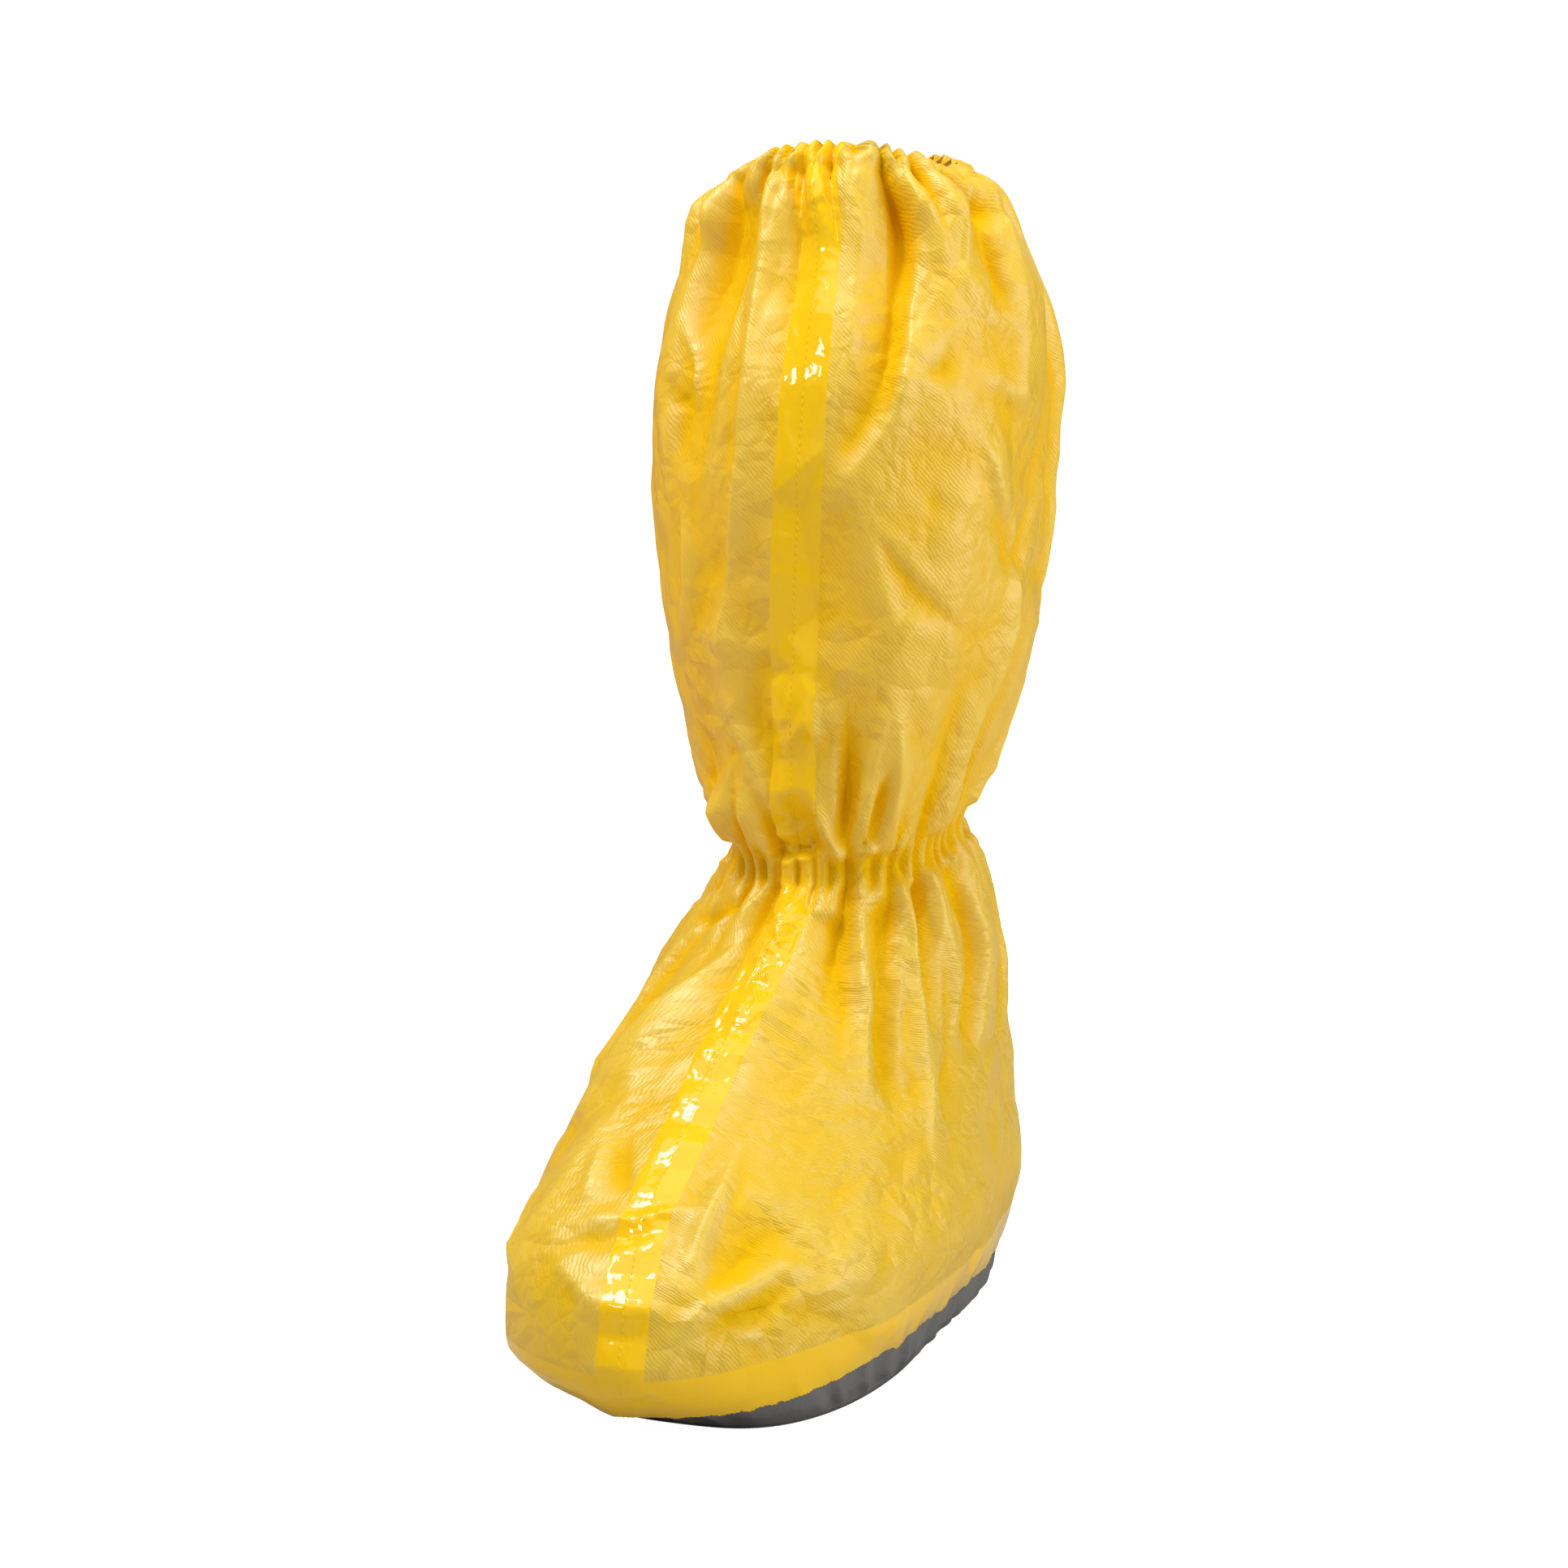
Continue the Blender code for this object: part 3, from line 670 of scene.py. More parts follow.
def soft_noise(shape, wave_cells, seed):
    """Smooth random field about 1 high, with waves of the given length in cells."""
    field = np.random.default_rng(seed).standard_normal(shape)
    fy = np.fft.fftfreq(shape[0])[:, None] * wave_cells
    fx = np.fft.fftfreq(shape[1])[None, :] * wave_cells
    band = np.exp(-0.5 * (fx ** 2 + fy ** 2) / NOISE_BAND ** 2) * (np.hypot(fx, fy) > NOISE_LEAST)
    field = np.real(np.fft.ifft2(np.fft.fft2(field) * band))
    return field / field.std()


# Cloth

def cubic_weights(t):
    """Weights of four neighbours for a smooth value between the middle two."""
    return np.stack([
        -0.5 * t + t ** 2 - 0.5 * t ** 3,
        1.0 - 2.5 * t ** 2 + 1.5 * t ** 3,
        0.5 * t + 2.0 * t ** 2 - 1.5 * t ** 3,
        -0.5 * t ** 2 + 0.5 * t ** 3])


def sample(grid, row, column):
    """Smooth values of a closed grid at rows and columns that lie between its own."""
    row, column = np.broadcast_arrays(np.asarray(row, float), np.asarray(column, float))
    i = np.clip(np.floor(row).astype(int), 0, grid.shape[0] - 2)
    j = np.floor(column).astype(int)
    row_weights, column_weights = cubic_weights(row - i), cubic_weights(column - j)
    value = 0.0
    for a in range(4):
        near_row = np.clip(i + a - 1, 0, grid.shape[0] - 1)
        for b in range(4):
            weight = row_weights[a] * column_weights[b]
            value = value + weight[..., None] * grid[near_row, (j + b - 1) % grid.shape[1]]
    return value


def on_cloth(cloth, row, column):
    """Points and unit normals of the fabric at rows and columns that lie between its own."""
    return sample(cloth.points, row, column), unit(sample(cloth.normals, row, column))


def lay_out(columns):
    """The skin under the fabric as a grid, with its normals and the relief of folds, gathers and hem."""
    levels, rows = row_levels()
    turns, girth = zip(*[even_turns(level, columns) for level in levels])
    turns = np.array(turns)
    base = skin(turns, levels[:, None])
    normals = grid_normals(base)
    across = unit(np.roll(base, -1, axis=1) - np.roll(base, 1, axis=1))
    relief = limited(FOLD_DEPTH * sum(fold_relief(base, across, fold) for fold in FOLDS))
    relief = relief * ease((rows["hem"] - np.arange(len(levels))) / HEM_FADE)[:, None]
    relief = relief + sum(gather_relief(base, rows, gather) for gather in GATHERS)
    relief = relief + channel_relief(rows, len(levels))
    return Layout(levels, rows, turns, np.array(girth), base, normals, across, relief)


def raised(layout, relief):
    """The skin raised by its relief, which fades out towards the seam of the sole."""
    fade = np.clip(np.arange(len(layout.levels)) / SEAM_FADE, 0.0, 1.0)
    return layout.base + layout.normals * (relief * fade[:, None])[..., None]


def cut_widths(layout):
    """How wide the fabric is cut on each row, once round."""
    row = np.arange(len(layout.levels))
    rows, girth = layout.rows, layout.girth
    cut = np.where(row < rows["ankle"], np.maximum(girth, FOOT_SHARE * SHAFT_CUT), SHAFT_CUT)
    cut = np.minimum(np.maximum(cut, girth * LEAST_SLACK), girth * HEM_SLACK)
    cut[:rows["tape_top"]] = girth[:rows["tape_top"]] * SEAM_SLACK
    near_ankle = np.exp(-((row - rows["ankle"]) / CUT_REACH) ** 2)
    return cut + near_ankle * (blurred(cut[:, None], CUT_BLUR, 0.0)[:, 0] - cut)


def facet_corners(facets, high):
    """Scattered corners of a layer of facets, once round and up, with copies past both ends of the round."""
    generator = np.random.default_rng(facets.seed)
    wide, tall = round(MEAN_GIRTH / facets.across), round(high / facets.along) + 2
    column, row = np.meshgrid(np.arange(wide), np.arange(tall))
    scatter = generator.uniform(0.0, 1.0, (2, tall, wide))
    u = ((column + scatter[0]) / wide).ravel()
    v = ((row + scatter[1] - 1.0) * facets.along).ravel()
    height = generator.standard_normal(u.size) * facets.height
    return np.concatenate([u - 1.0, u, u + 1.0]), np.tile(v, 3), np.tile(height, 3)


def facet_relief(layout, facets):
    """Flat three-cornered facets all over the fabric, with a crease between each two."""
    up = length_along(layout.base)
    u, v, height = facet_corners(facets, up[-1])
    columns = layout.base.shape[1]
    relief = np.zeros((len(up), columns))
    places = [Vector(place) for place in zip(u * MEAN_GIRTH / facets.across, v / facets.along)]
    for face in delaunay_2d_cdt(places, [], [], 0, SAME_PLACE)[2]:
        a, b, c = face
        columns_in = np.arange(max(math.ceil(u[face].min() * columns), 0),
                               min(math.floor(u[face].max() * columns), columns - 1) + 1)
        rows_in = np.nonzero((up >= v[face].min()) & (up <= v[face].max()))[0]
        area = (u[b] - u[a]) * (v[c] - v[a]) - (u[c] - u[a]) * (v[b] - v[a])
        if columns_in.size == 0 or rows_in.size == 0 or area == 0.0:
            continue
        x, y = (columns_in / columns)[None, :] - u[a], up[rows_in][:, None] - v[a]
        second = (x * (v[c] - v[a]) - (u[c] - u[a]) * y) / area
        third = ((u[b] - u[a]) * y - x * (v[b] - v[a])) / area
        inside = (second >= 0.0) & (third >= 0.0) & (second + third <= 1.0)
        value = height[a] + second * (height[b] - height[a]) + third * (height[c] - height[a])
        window = np.ix_(rows_in, columns_in)
        relief[window] = np.where(inside, value, relief[window])
    return relief


def blurred(field, rows, columns):
    """Field smoothed over so many rows and columns."""
    fy = np.fft.fftfreq(field.shape[0])[:, None] * rows
    fx = np.fft.fftfreq(field.shape[1])[None, :] * columns
    return np.real(np.fft.ifft2(np.fft.fft2(field) * np.exp(-2.0 * np.pi ** 2 * (fx ** 2 + fy ** 2))))


def painted_shading_of(layout, relief):
    """Painted light and shade of each place: 1 on a crest, painted paler as if lit, and 0 in a hollow,
    painted deeper as shade. Even fabric has 0.5, and gathered fabric less, as painted shade in the gathers.
    """
    near = (relief - blurred(relief, *CREST_NEAR)) / CREST_HEIGHT
    wide = (relief - blurred(relief, *CREST_WIDE)) / WIDE_HEIGHT
    row = np.arange(len(relief))[:, None]
    gathered = sum(deep * np.exp(-((row - layout.rows[name]) / GATHER_ROWS) ** 2)
                   for name, deep in GATHER_SHADE.items())
    return EVEN_SHADE + 0.5 * np.tanh(near + wide) - gathered


def tape_facets(layout):
    """Flat facets across the front tape on the foot, with a crease between each two."""
    generator = np.random.default_rng(FACET_SEED)
    line = layout.base[:, 0]
    up = length_along(line)
    last = up[layout.rows["ankle"]] - FACET_END
    edges = np.cumsum(generator.uniform(*FACET_LENGTH, FACET_COUNT))
    out_or_in = np.where(np.arange(FACET_COUNT) % 2, 1.0, -1.0)
    heights = FACET_HEIGHT * generator.uniform(FACET_LEAST, 1.0, FACET_COUNT) * out_or_in
    tilt = np.interp(up, edges, heights) * ease((last - up) / FACET_END)
    beside = np.linalg.norm(layout.base - line[:, None], axis=-1)
    return tilt[:, None] * np.exp(-(beside / (FACET_BESIDE * FRONT_TAPE_WIDTH)) ** 4)


def crease_relief(layout, zone):
    """Small creases scattered over a zone, each a short bent line with one steep side."""
    relief = np.zeros(layout.base.shape[:2])
    count, columns = relief.shape
    generator = np.random.default_rng(zone.seed)
    row_step = np.linalg.norm(np.diff(layout.base, axis=0), axis=-1).mean(axis=1)
    for _ in range(zone.creases):
        turn = math.radians(zone.turn + zone.turn_reach * generator.uniform(-1.0, 1.0))
        level = zone.level + zone.level_reach * generator.uniform(-1.0, 1.0)
        length = zone.length * generator.uniform(*CREASE_LENGTH)
        height = zone.height * generator.uniform(*CREASE_HEIGHT) * generator.choice((-1.0, 1.0))
        slope = math.radians(zone.slope + zone.spread * generator.uniform(-1.0, 1.0))
        steep, gentle = generator.uniform(*CREASE_STEEP), generator.uniform(*CREASE_GENTLE)
        i = int(np.searchsorted(layout.levels, level))
        j = int(np.argmin(np.abs(np.angle(np.exp(1j * (layout.turns[i] - turn))))))
        reach = 0.5 * length + CREASE_MARGIN * gentle
        tall = int(reach / row_step[min(i, count - 2)]) + 1
        wide = int(reach / (layout.girth[i] / columns)) + 1
        window = np.arange(max(i - tall, 0), min(i + tall, count - 1) + 1)[:, None]
        beside = np.arange(j - wide, j + wide + 1)[None, :] % columns
        right, out = layout.across[i, j], layout.normals[i, j]
        line = math.cos(slope) * right + math.sin(slope) * np.cross(out, right)
        away = layout.base[window, beside] - layout.base[i, j]
        along, off = away @ line, away @ np.cross(out, line)
        off = off + generator.uniform(-CREASE_BEND, CREASE_BEND) * along ** 2
        width = np.where(off < 0.0, steep, gentle)
        taper = np.clip(1.0 - (2.0 * along / length) ** 2, 0.0, 1.0)
        profile = np.clip(1.0 - np.abs(off) / (2.0 * width), 0.0, 1.0) ** CREASE_SHARP
        relief[window, beside] += height * taper * profile
    return relief


def level_ankle(layout, points):
    """Keeps the fabric at the ankle at its height on the skin, so that it does not close on itself."""
    row = np.arange(len(points))[:, None]
    share = np.exp(-((row - layout.rows["ankle"]) / ANKLE_LEVEL) ** 2)
    height = points[..., 2] + share * (layout.base[..., 2] - points[..., 2])
    return np.concatenate([points[..., :2], height[..., None]], axis=-1)


def build_cloth():
    """The fabric: the skin with its folds, gathers, crumple and small creases, and its painted light and
    shade.
    """
    layout = lay_out(COLUMNS)
    relief = layout.relief + sum(crease_relief(layout, zone) for zone in ZONES)
    relief = relief + sum(facet_relief(layout, facets) for facets in FACETS) + tape_facets(layout)
    points = level_ankle(layout, raised(layout, relief))
    return Cloth(points, grid_normals(points), layout.rows, cut_widths(layout), layout.levels,
                 painted_shading_of(layout, relief))


# Meshes

def mesh_object(name, vertices, faces):
    """Smooth mesh object in the scene."""
    mesh = bpy.data.meshes.new(name)
    mesh.from_pydata(vertices, [], faces)
    mesh.polygons.foreach_set("use_smooth", np.ones(len(faces), dtype=bool))
    piece = bpy.data.objects.new(name, mesh)
    bpy.context.scene.collection.objects.link(piece)
    return piece


def sheet_object(name, points, closed=True, uv=None):
    """Mesh object from a grid of points, with faces out and, where one is given, a UV in metres."""
    count, columns = points.shape[:2]
    index = np.arange(count * columns).reshape(count, columns)
    right = np.roll(index, -1, axis=1) if closed else index[:, 1:]
    left = index if closed else index[:, :-1]
    faces = np.stack([left[:-1], right[:-1], right[1:], left[1:]], axis=-1).reshape(-1, 4)
    piece = mesh_object(name, points.reshape(-1, 3).tolist(), faces.tolist())
    if uv is not None:
        layer = piece.data.uv_layers.new(name="UVMap")
        layer.data.foreach_set("uv", corner_uv(uv, closed).ravel())
    return piece


def set_values(piece, name, values):
    """Keeps a number for each point of a grid on its mesh."""
    piece.data.attributes.new(name, "FLOAT", "POINT").data.foreach_set("value", values.ravel())


def corner_uv(uv, closed):
    """UV of every face corner of a grid. The last column of a closed grid runs on past the first."""
    step = uv[:, 1:2] - uv[:, :1]
    wide = np.concatenate([uv, uv[:, -1:] + step], axis=1) if closed else uv
    left, right = wide[:, :-1], wide[:, 1:]
    return np.stack([left[:-1], right[:-1], right[1:], left[1:]], axis=2).reshape(-1, 2)


def thicken(piece, thickness):
    """Gives a sheet its thickness, to the inside."""
    wall = piece.modifiers.new("wall", "SOLIDIFY")
    wall.thickness = thickness
    wall.offset = -1.0
    wall.use_even_offset = False


def place(piece, slot, material, *nodes):
    """Sets a piece on the boot, with its material, in place of the named solids."""
    piece.data.materials.append(material)
    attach(piece, "root")
    for node in nodes:
        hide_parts(node)


def fabric_uv(cloth):
    """UV of the fabric in metres: along the cut from the back, and up from the sole's seam."""
    up = length_along(cloth.points)
    columns = cloth.points.shape[1]
    across = (np.arange(columns) / columns - 0.5)[None, :] * cloth.cut[:, None]
    return np.stack([across, np.broadcast_to(up[:, None], across.shape)], axis=-1)


# Pieces

def turned_in(cloth):
    """Rows of the hem that is folded over the rim and runs down inside."""
    hem, rim = cloth.rows["hem"], cloth.rows["rim"]
    inside = cloth.points[hem:rim + 1][::-1] - HEM_FOLD * cloth.normals[hem:rim + 1][::-1]
    top = 0.5 * (cloth.points[rim] + inside[0]) + HEM_CROWN * HEM_FOLD * np.array((0.0, 0.0, 1.0))
    return np.concatenate([top[None], inside], axis=0)


def build_upper(cloth, material):
    """The gathered fabric of foot and shaft, in one sheet, with its hem turned in."""
    fold = turned_in(cloth)
    uv = fabric_uv(cloth)
    step = np.array((0.0, HEM_STEP))
    fold_uv = uv[-1] + step * np.arange(1, len(fold) + 1)[:, None, None]
    points = np.concatenate([cloth.points, fold])
    piece = sheet_object("upper_fabric", points, uv=np.concatenate([uv, fold_uv]))
    # Painted light and shade of the fabric: crests paler, hollows and gathers deeper, the turned-in hem even
    crest = np.concatenate([cloth.crest, np.full(fold.shape[:2], EVEN_SHADE)])
    set_values(piece, "crest", crest)
    place(piece, "yellow_fabric", material, "upper")


def front_tape_grid(cloth):
    """Rows and columns of the fabric under the front tape, and the way from its middle in metres."""
    first, last = cloth.rows["tape_top"] - TAPE_BELOW, cloth.rows["rim"] - TAPE_SHORT
    row = np.linspace(first, last, FRONT_TAPE_ROWS)[:, None]
    offset = np.linspace(-0.5, 0.5, FRONT_TAPE_COLUMNS)[None, :] * FRONT_TAPE_WIDTH
    half = np.interp(row, np.arange(len(cloth.points)), tape_reach(cloth))
    return row, offset * half / (0.5 * FRONT_TAPE_WIDTH), offset


def tape_reach(cloth):
    """Columns from the front seam to the tape's edge on each row, so that the tape keeps its width."""
    reach = np.arange(1, TAPE_SEARCH)
    wide = np.linalg.norm(cloth.points[:, reach] - cloth.points[:, -reach], axis=-1)
    half = [np.interp(FRONT_TAPE_WIDTH, np.maximum.accumulate(line), reach) for line in wide]
    padded = np.pad(half, TAPE_SEARCH, mode="edge")[:, None]
    return blurred(padded, TAPE_EVEN, 0.0)[TAPE_SEARCH:-TAPE_SEARCH, 0]


def build_front_tape(cloth, material):
    """The glossy tape over the front seam, laid on the fabric with its own crinkles."""
    row, column, offset = front_tape_grid(cloth)
    points, normals = on_cloth(cloth, row, column)
    inner = 1.0 - (2.0 * np.abs(offset) / FRONT_TAPE_WIDTH) ** TAPE_EDGE
    lift = (TAPE_LIFT + tape_relief(cloth, row, points.shape[:2])) * inner
    points = points + normals * lift[..., None]
    up = length_along(points[:, FRONT_TAPE_COLUMNS // 2])
    uv = np.stack(np.broadcast_arrays(offset, up[:, None]), axis=-1)
    piece = sheet_object("front_tape", points, closed=False, uv=uv)
    set_values(piece, "crinkle", np.broadcast_to(tape_gather(cloth, row), points.shape[:2]))
    place(piece, "yellow_tape", material, "front_seam_tape")
    return points, normals


def tape_gather(cloth, row):
    """How much the front tape is gathered on each of its rows."""
    level = np.interp(row, np.arange(len(cloth.levels)), cloth.levels)
    return np.maximum(*[np.exp(-((level - middle) / reach) ** 2) for middle, reach in TAPE_GATHERS])


def tape_relief(cloth, row, shape):
    """Crinkles of the tape: a net of ridges, high where it is gathered and low elsewhere."""
    net = (1.0 - np.abs(soft_noise(shape, NET_WAVE, NET_SEED)) / NET_END).clip(0.0, 1.0) ** NET_SHARP
    return NET_HEIGHT * net * (NET_ELSEWHERE + tape_gather(cloth, row))


def build_sole_tape(cloth, material):
    """The tape round the seam of the sole, with a toothed lower edge and small puckers."""
    columns = cloth.points.shape[1] * SOLE_TAPE_FINE
    column = np.arange(columns)[None, :] / SOLE_TAPE_FINE
    tooth = np.abs((np.arange(columns) * TOOTH_STEP) % 1.0 - 0.5) * 2.0
    ragged = np.abs(soft_noise((1, columns), RAGGED_WAVE, RAGGED_SEED))
    lower = -EDGE_DEPTH * (EDGE_PLAIN + EDGE_TEETH * tooth + EDGE_RAGGED * ragged)
    share = np.linspace(0.0, 1.0, SOLE_TAPE_ROWS)[:, None]
    row = lower + (cloth.rows["tape_top"] - lower) * share
    points, normals = on_cloth(cloth, np.maximum(row, 0.0), column)
    down = sample(cloth.points, np.zeros_like(row), column) - sample(cloth.points, np.ones_like(row), column)
    points = points + down * np.maximum(-row, 0.0)[..., None]
    pucker = sum(soft_noise((1, columns), wave, seed) for wave, seed in PUCKER_WAVES)
    pucker = pucker * (1.0 - share) ** PUCKER_FADE
    lift = TAPE_LIFT * (1.0 - share ** SOLE_TAPE_EDGE) + PUCKER_HEIGHT * np.maximum(pucker, PUCKER_LOWEST)
    points = points + normals * lift[..., None]
    along = column * (cloth.cut[0] / cloth.points.shape[1])
    uv = np.stack(np.broadcast_arrays(along, share * SOLE_TAPE_WIDTH), axis=-1)
    piece = sheet_object("sole_tape", points, uv=uv)
    place(piece, "yellow_tape", material, "sole_seam_tape")


def arch(y):
    """Lift of the sole at a place along the foot."""
    across = np.minimum(np.abs(y - ARCH_MIDDLE) / ARCH_REACH, 1.0)
    return ARCH_LIFT * (1.0 - across * across) ** 2


def build_sole(material):
    """The grey sole: the turned-up edge, with soft creases, and the tread, with its low arch."""
    half = SOLE_COLUMNS // 2
    turns = even_turns(LEVEL["edge"], SOLE_COLUMNS)[0]
    levels = np.linspace(LEVEL["tread"], LEVEL["seam"] + SOLE_UNDER, SOLE_ROWS)[:, None]
    side = skin(turns[None, :], levels)
    waves = np.abs(soft_noise((1, SOLE_COLUMNS), SOLE_WAVE, SOLE_SEED))
    crease = waves * np.sin(np.pi * np.clip(levels / SOLE_CREASE_END, 0.0, 1.0))
    side = side - grid_normals(side) * (SOLE_GAP + SOLE_CREASE * crease)[..., None]
    share = 1.0 - levels / LEVEL["seam"]
    side[..., 2] = np.maximum(side[..., 2] + arch(side[..., 1]) * np.maximum(share, 0.0), 0.0)
    right, left = side[0, :half + 1], side[0, np.arange(0, -half - 1, -1)]
    t = np.linspace(0.0, 1.0, SOLE_ACROSS)[:, None, None]
    tread = left + (right - left) * t
    tread[..., 2] = arch(tread[..., 1])
    piece = sheet_object("grey_sole", side)
    bottom = sheet_object("tread", tread, closed=False)
    join_sheets(piece, bottom)
    thicken(piece, SOLE_SHEET)
    place(piece, "grey_sole", material, "sole")


def join_sheets(piece, other):
    """Joins another sheet into a piece and closes the seam between them."""
    shape = bmesh.new()
    shape.from_mesh(piece.data)
    shape.from_mesh(other.data)
    bmesh.ops.remove_doubles(shape, verts=shape.verts, dist=SAME_PLACE)
    bmesh.ops.dissolve_degenerate(shape, edges=shape.edges, dist=NO_LENGTH)
    bmesh.ops.recalc_face_normals(shape, faces=shape.faces)
    shape.to_mesh(piece.data)
    shape.free()
    bpy.data.objects.remove(other, do_unlink=True)


def build_elastic(cloth, name, node, rows, thickness, material):
    """A ribbed elastic band on the inside of the fabric, between two rows."""
    row = np.linspace(*rows, ELASTIC_ROWS)[:, None]
    column = np.arange(cloth.points.shape[1])[None, :]
    points, normals = on_cloth(cloth, row, column)
    rib = np.cos(np.pi * np.arange(ELASTIC_ROWS))[:, None, None]
    piece = sheet_object(name, points - normals * (ELASTIC_INSET + ELASTIC_RIB * rib))
    thicken(piece, thickness)
    place(piece, "pale_elastic", material, node)


def build_stitches(points, normals, material):
    """Stitches down the middle of the front tape, half sunk in it, as one piece."""
    middle = FRONT_TAPE_COLUMNS // 2
    line, out = points[:, middle], normals[:, middle]
    up_seam = length_along(line)
    ring = np.linspace(0.0, 2.0 * np.pi, STITCH_SIDES, endpoint=False)
    length = np.linspace(-0.5, 0.5, STITCH_RINGS)
    vertices, faces = [], []
    for start in np.arange(STITCH_BARE, up_seam[-1] - STITCH_BARE, STITCH_PITCH):
        at = start + length * STITCH_LENGTH
        centre = np.stack([np.interp(at, up_seam, line[:, k]) for k in range(3)], axis=-1)
        up = np.stack([np.interp(at, up_seam, out[:, k]) for k in range(3)], axis=-1)
        along = centre[-1] - centre[0]
        across = unit(np.cross(along, up))
        radius = STITCH_RADIUS * np.sqrt(np.clip(1.0 - (2.0 * length) ** 2, STITCH_TIP, 1.0))[:, None, None]
        circle = np.cos(ring)[None, :, None] * across[:, None] + np.sin(ring)[None, :, None] * up[:, None]
        tube = centre[:, None] + radius * circle
        base = len(vertices)
        vertices.extend(tube.reshape(-1, 3).tolist())
        for i in range(len(length) - 1):
            for j in range(STITCH_SIDES):
                k = (j + 1) % STITCH_SIDES
                low, high = base + i * STITCH_SIDES, base + (i + 1) * STITCH_SIDES
                faces.append((low + j, low + k, high + k, high + j))
        faces.append(tuple(base + j for j in reversed(range(STITCH_SIDES))))
        end = base + (STITCH_RINGS - 1) * STITCH_SIDES
        faces.append(tuple(end + j for j in range(STITCH_SIDES)))
    piece = mesh_object("front_stitches", vertices, faces)
    place(piece, "yellow_tape", material)


# Materials

def new_material(name, colour, roughness):
    """Material with a plain principled shader."""
    material = bpy.data.materials.new(name)
    material.use_nodes = True
    shader = material.node_tree.nodes["Principled BSDF"]
    shader.inputs["Base Color"].default_value = (*colour, 1.0)
    shader.inputs["Roughness"].default_value = roughness
    return material, material.node_tree, shader


def add_node(tree, kind, inputs=None, **settings):
    """Adds a node, with its settings and the values or links of its inputs."""
    node = tree.nodes.new(kind)
    for key, value in settings.items():
        setattr(node, key, value)
    for key, value in (inputs or {}).items():
        if isinstance(value, bpy.types.NodeSocket):
            tree.links.new(value, node.inputs[key])
        else:
            node.inputs[key].default_value = value
    return node


def math_node(tree, operation, *values):
    """Output of a math node."""
    return add_node(tree, "ShaderNodeMath", dict(enumerate(values)), operation=operation).outputs[0]


def noise(tree, place, scale, detail=2.0):
    """Noise value at a place, with so many waves to the metre."""
    inputs = {"Vector": place, "Scale": scale, "Detail": detail}
    return add_node(tree, "ShaderNodeTexNoise", inputs).outputs[0]


def hatch(tree, uv, direction, pitch, wander):
    """Height of fine lines across a direction, which wander a little."""
    inputs = {0: uv, 1: direction}
    along = add_node(tree, "ShaderNodeVectorMath", inputs, operation="DOT_PRODUCT").outputs["Value"]
    turns = math_node(tree, "MULTIPLY", along, 2.0 * math.pi / pitch)
    return math_node(tree, "SINE", math_node(tree, "ADD", turns, wander))


def flat_noise(tree, uv, scale):
    """Noise node on the flat fabric, with so many waves to the metre."""
    inputs = {"Vector": uv, "Scale": scale, "Detail": 1.0}
    return add_node(tree, "ShaderNodeTexNoise", inputs, noise_dimensions="2D")


def facet_height(tree, uv, scale):
    """Height of flat facets with creases between them, so many to the metre, in some patches only."""
    bent = flat_noise(tree, uv, BEND_WAVES * scale).outputs["Color"]
    bend = add_node(tree, "ShaderNodeVectorMath", {0: bent, 3: BEND_SIZE / scale}, operation="SCALE")
    moved = add_node(tree, "ShaderNodeVectorMath", {0: uv, 1: bend.outputs[0]}, operation="ADD")
    cells = add_node(tree, "ShaderNodeTexVoronoi", {"Vector": moved.outputs[0], "Scale": scale},
                     feature="DISTANCE_TO_EDGE", voronoi_dimensions="2D")
    patchy = flat_noise(tree, uv, PATCH_WAVES * scale).outputs[0]
    share = add_node(tree, "ShaderNodeMapRange", {0: patchy, 1: PATCH_START, 2: PATCH_FULL}).outputs[0]
    return math_node(tree, "MULTIPLY", cells.outputs["Distance"], share)


def bump(tree, height, distance, normal=None):
    """Normal bent by a height, whose whole range is the distance in metres."""
    inputs = {"Height": height, "Distance": distance, "Strength": 1.0}
    if normal is not None:
        inputs["Normal"] = normal
    return add_node(tree, "ShaderNodeBump", inputs).outputs[0]


def mix_colour(tree, share, first, second):
    """Colour between two colours."""
    node = add_node(tree, "ShaderNodeMix", data_type="RGBA")
    tree.links.new(share, node.inputs[0])
    node.inputs[6].default_value = (*first, 1.0)
    node.inputs[7].default_value = (*second, 1.0)
    return node.outputs[2]


def ramp(tree, share, first, middle, last):
    """Colour that runs from the first through the middle one to the last."""
    node = add_node(tree, "ShaderNodeValToRGB", {0: share})
    stops = node.color_ramp.elements
    stops[0].color = (*first, 1.0)
    stops[1].color = (*last, 1.0)
    stops.new(0.5).color = (*middle, 1.0)
    return node.outputs[0]


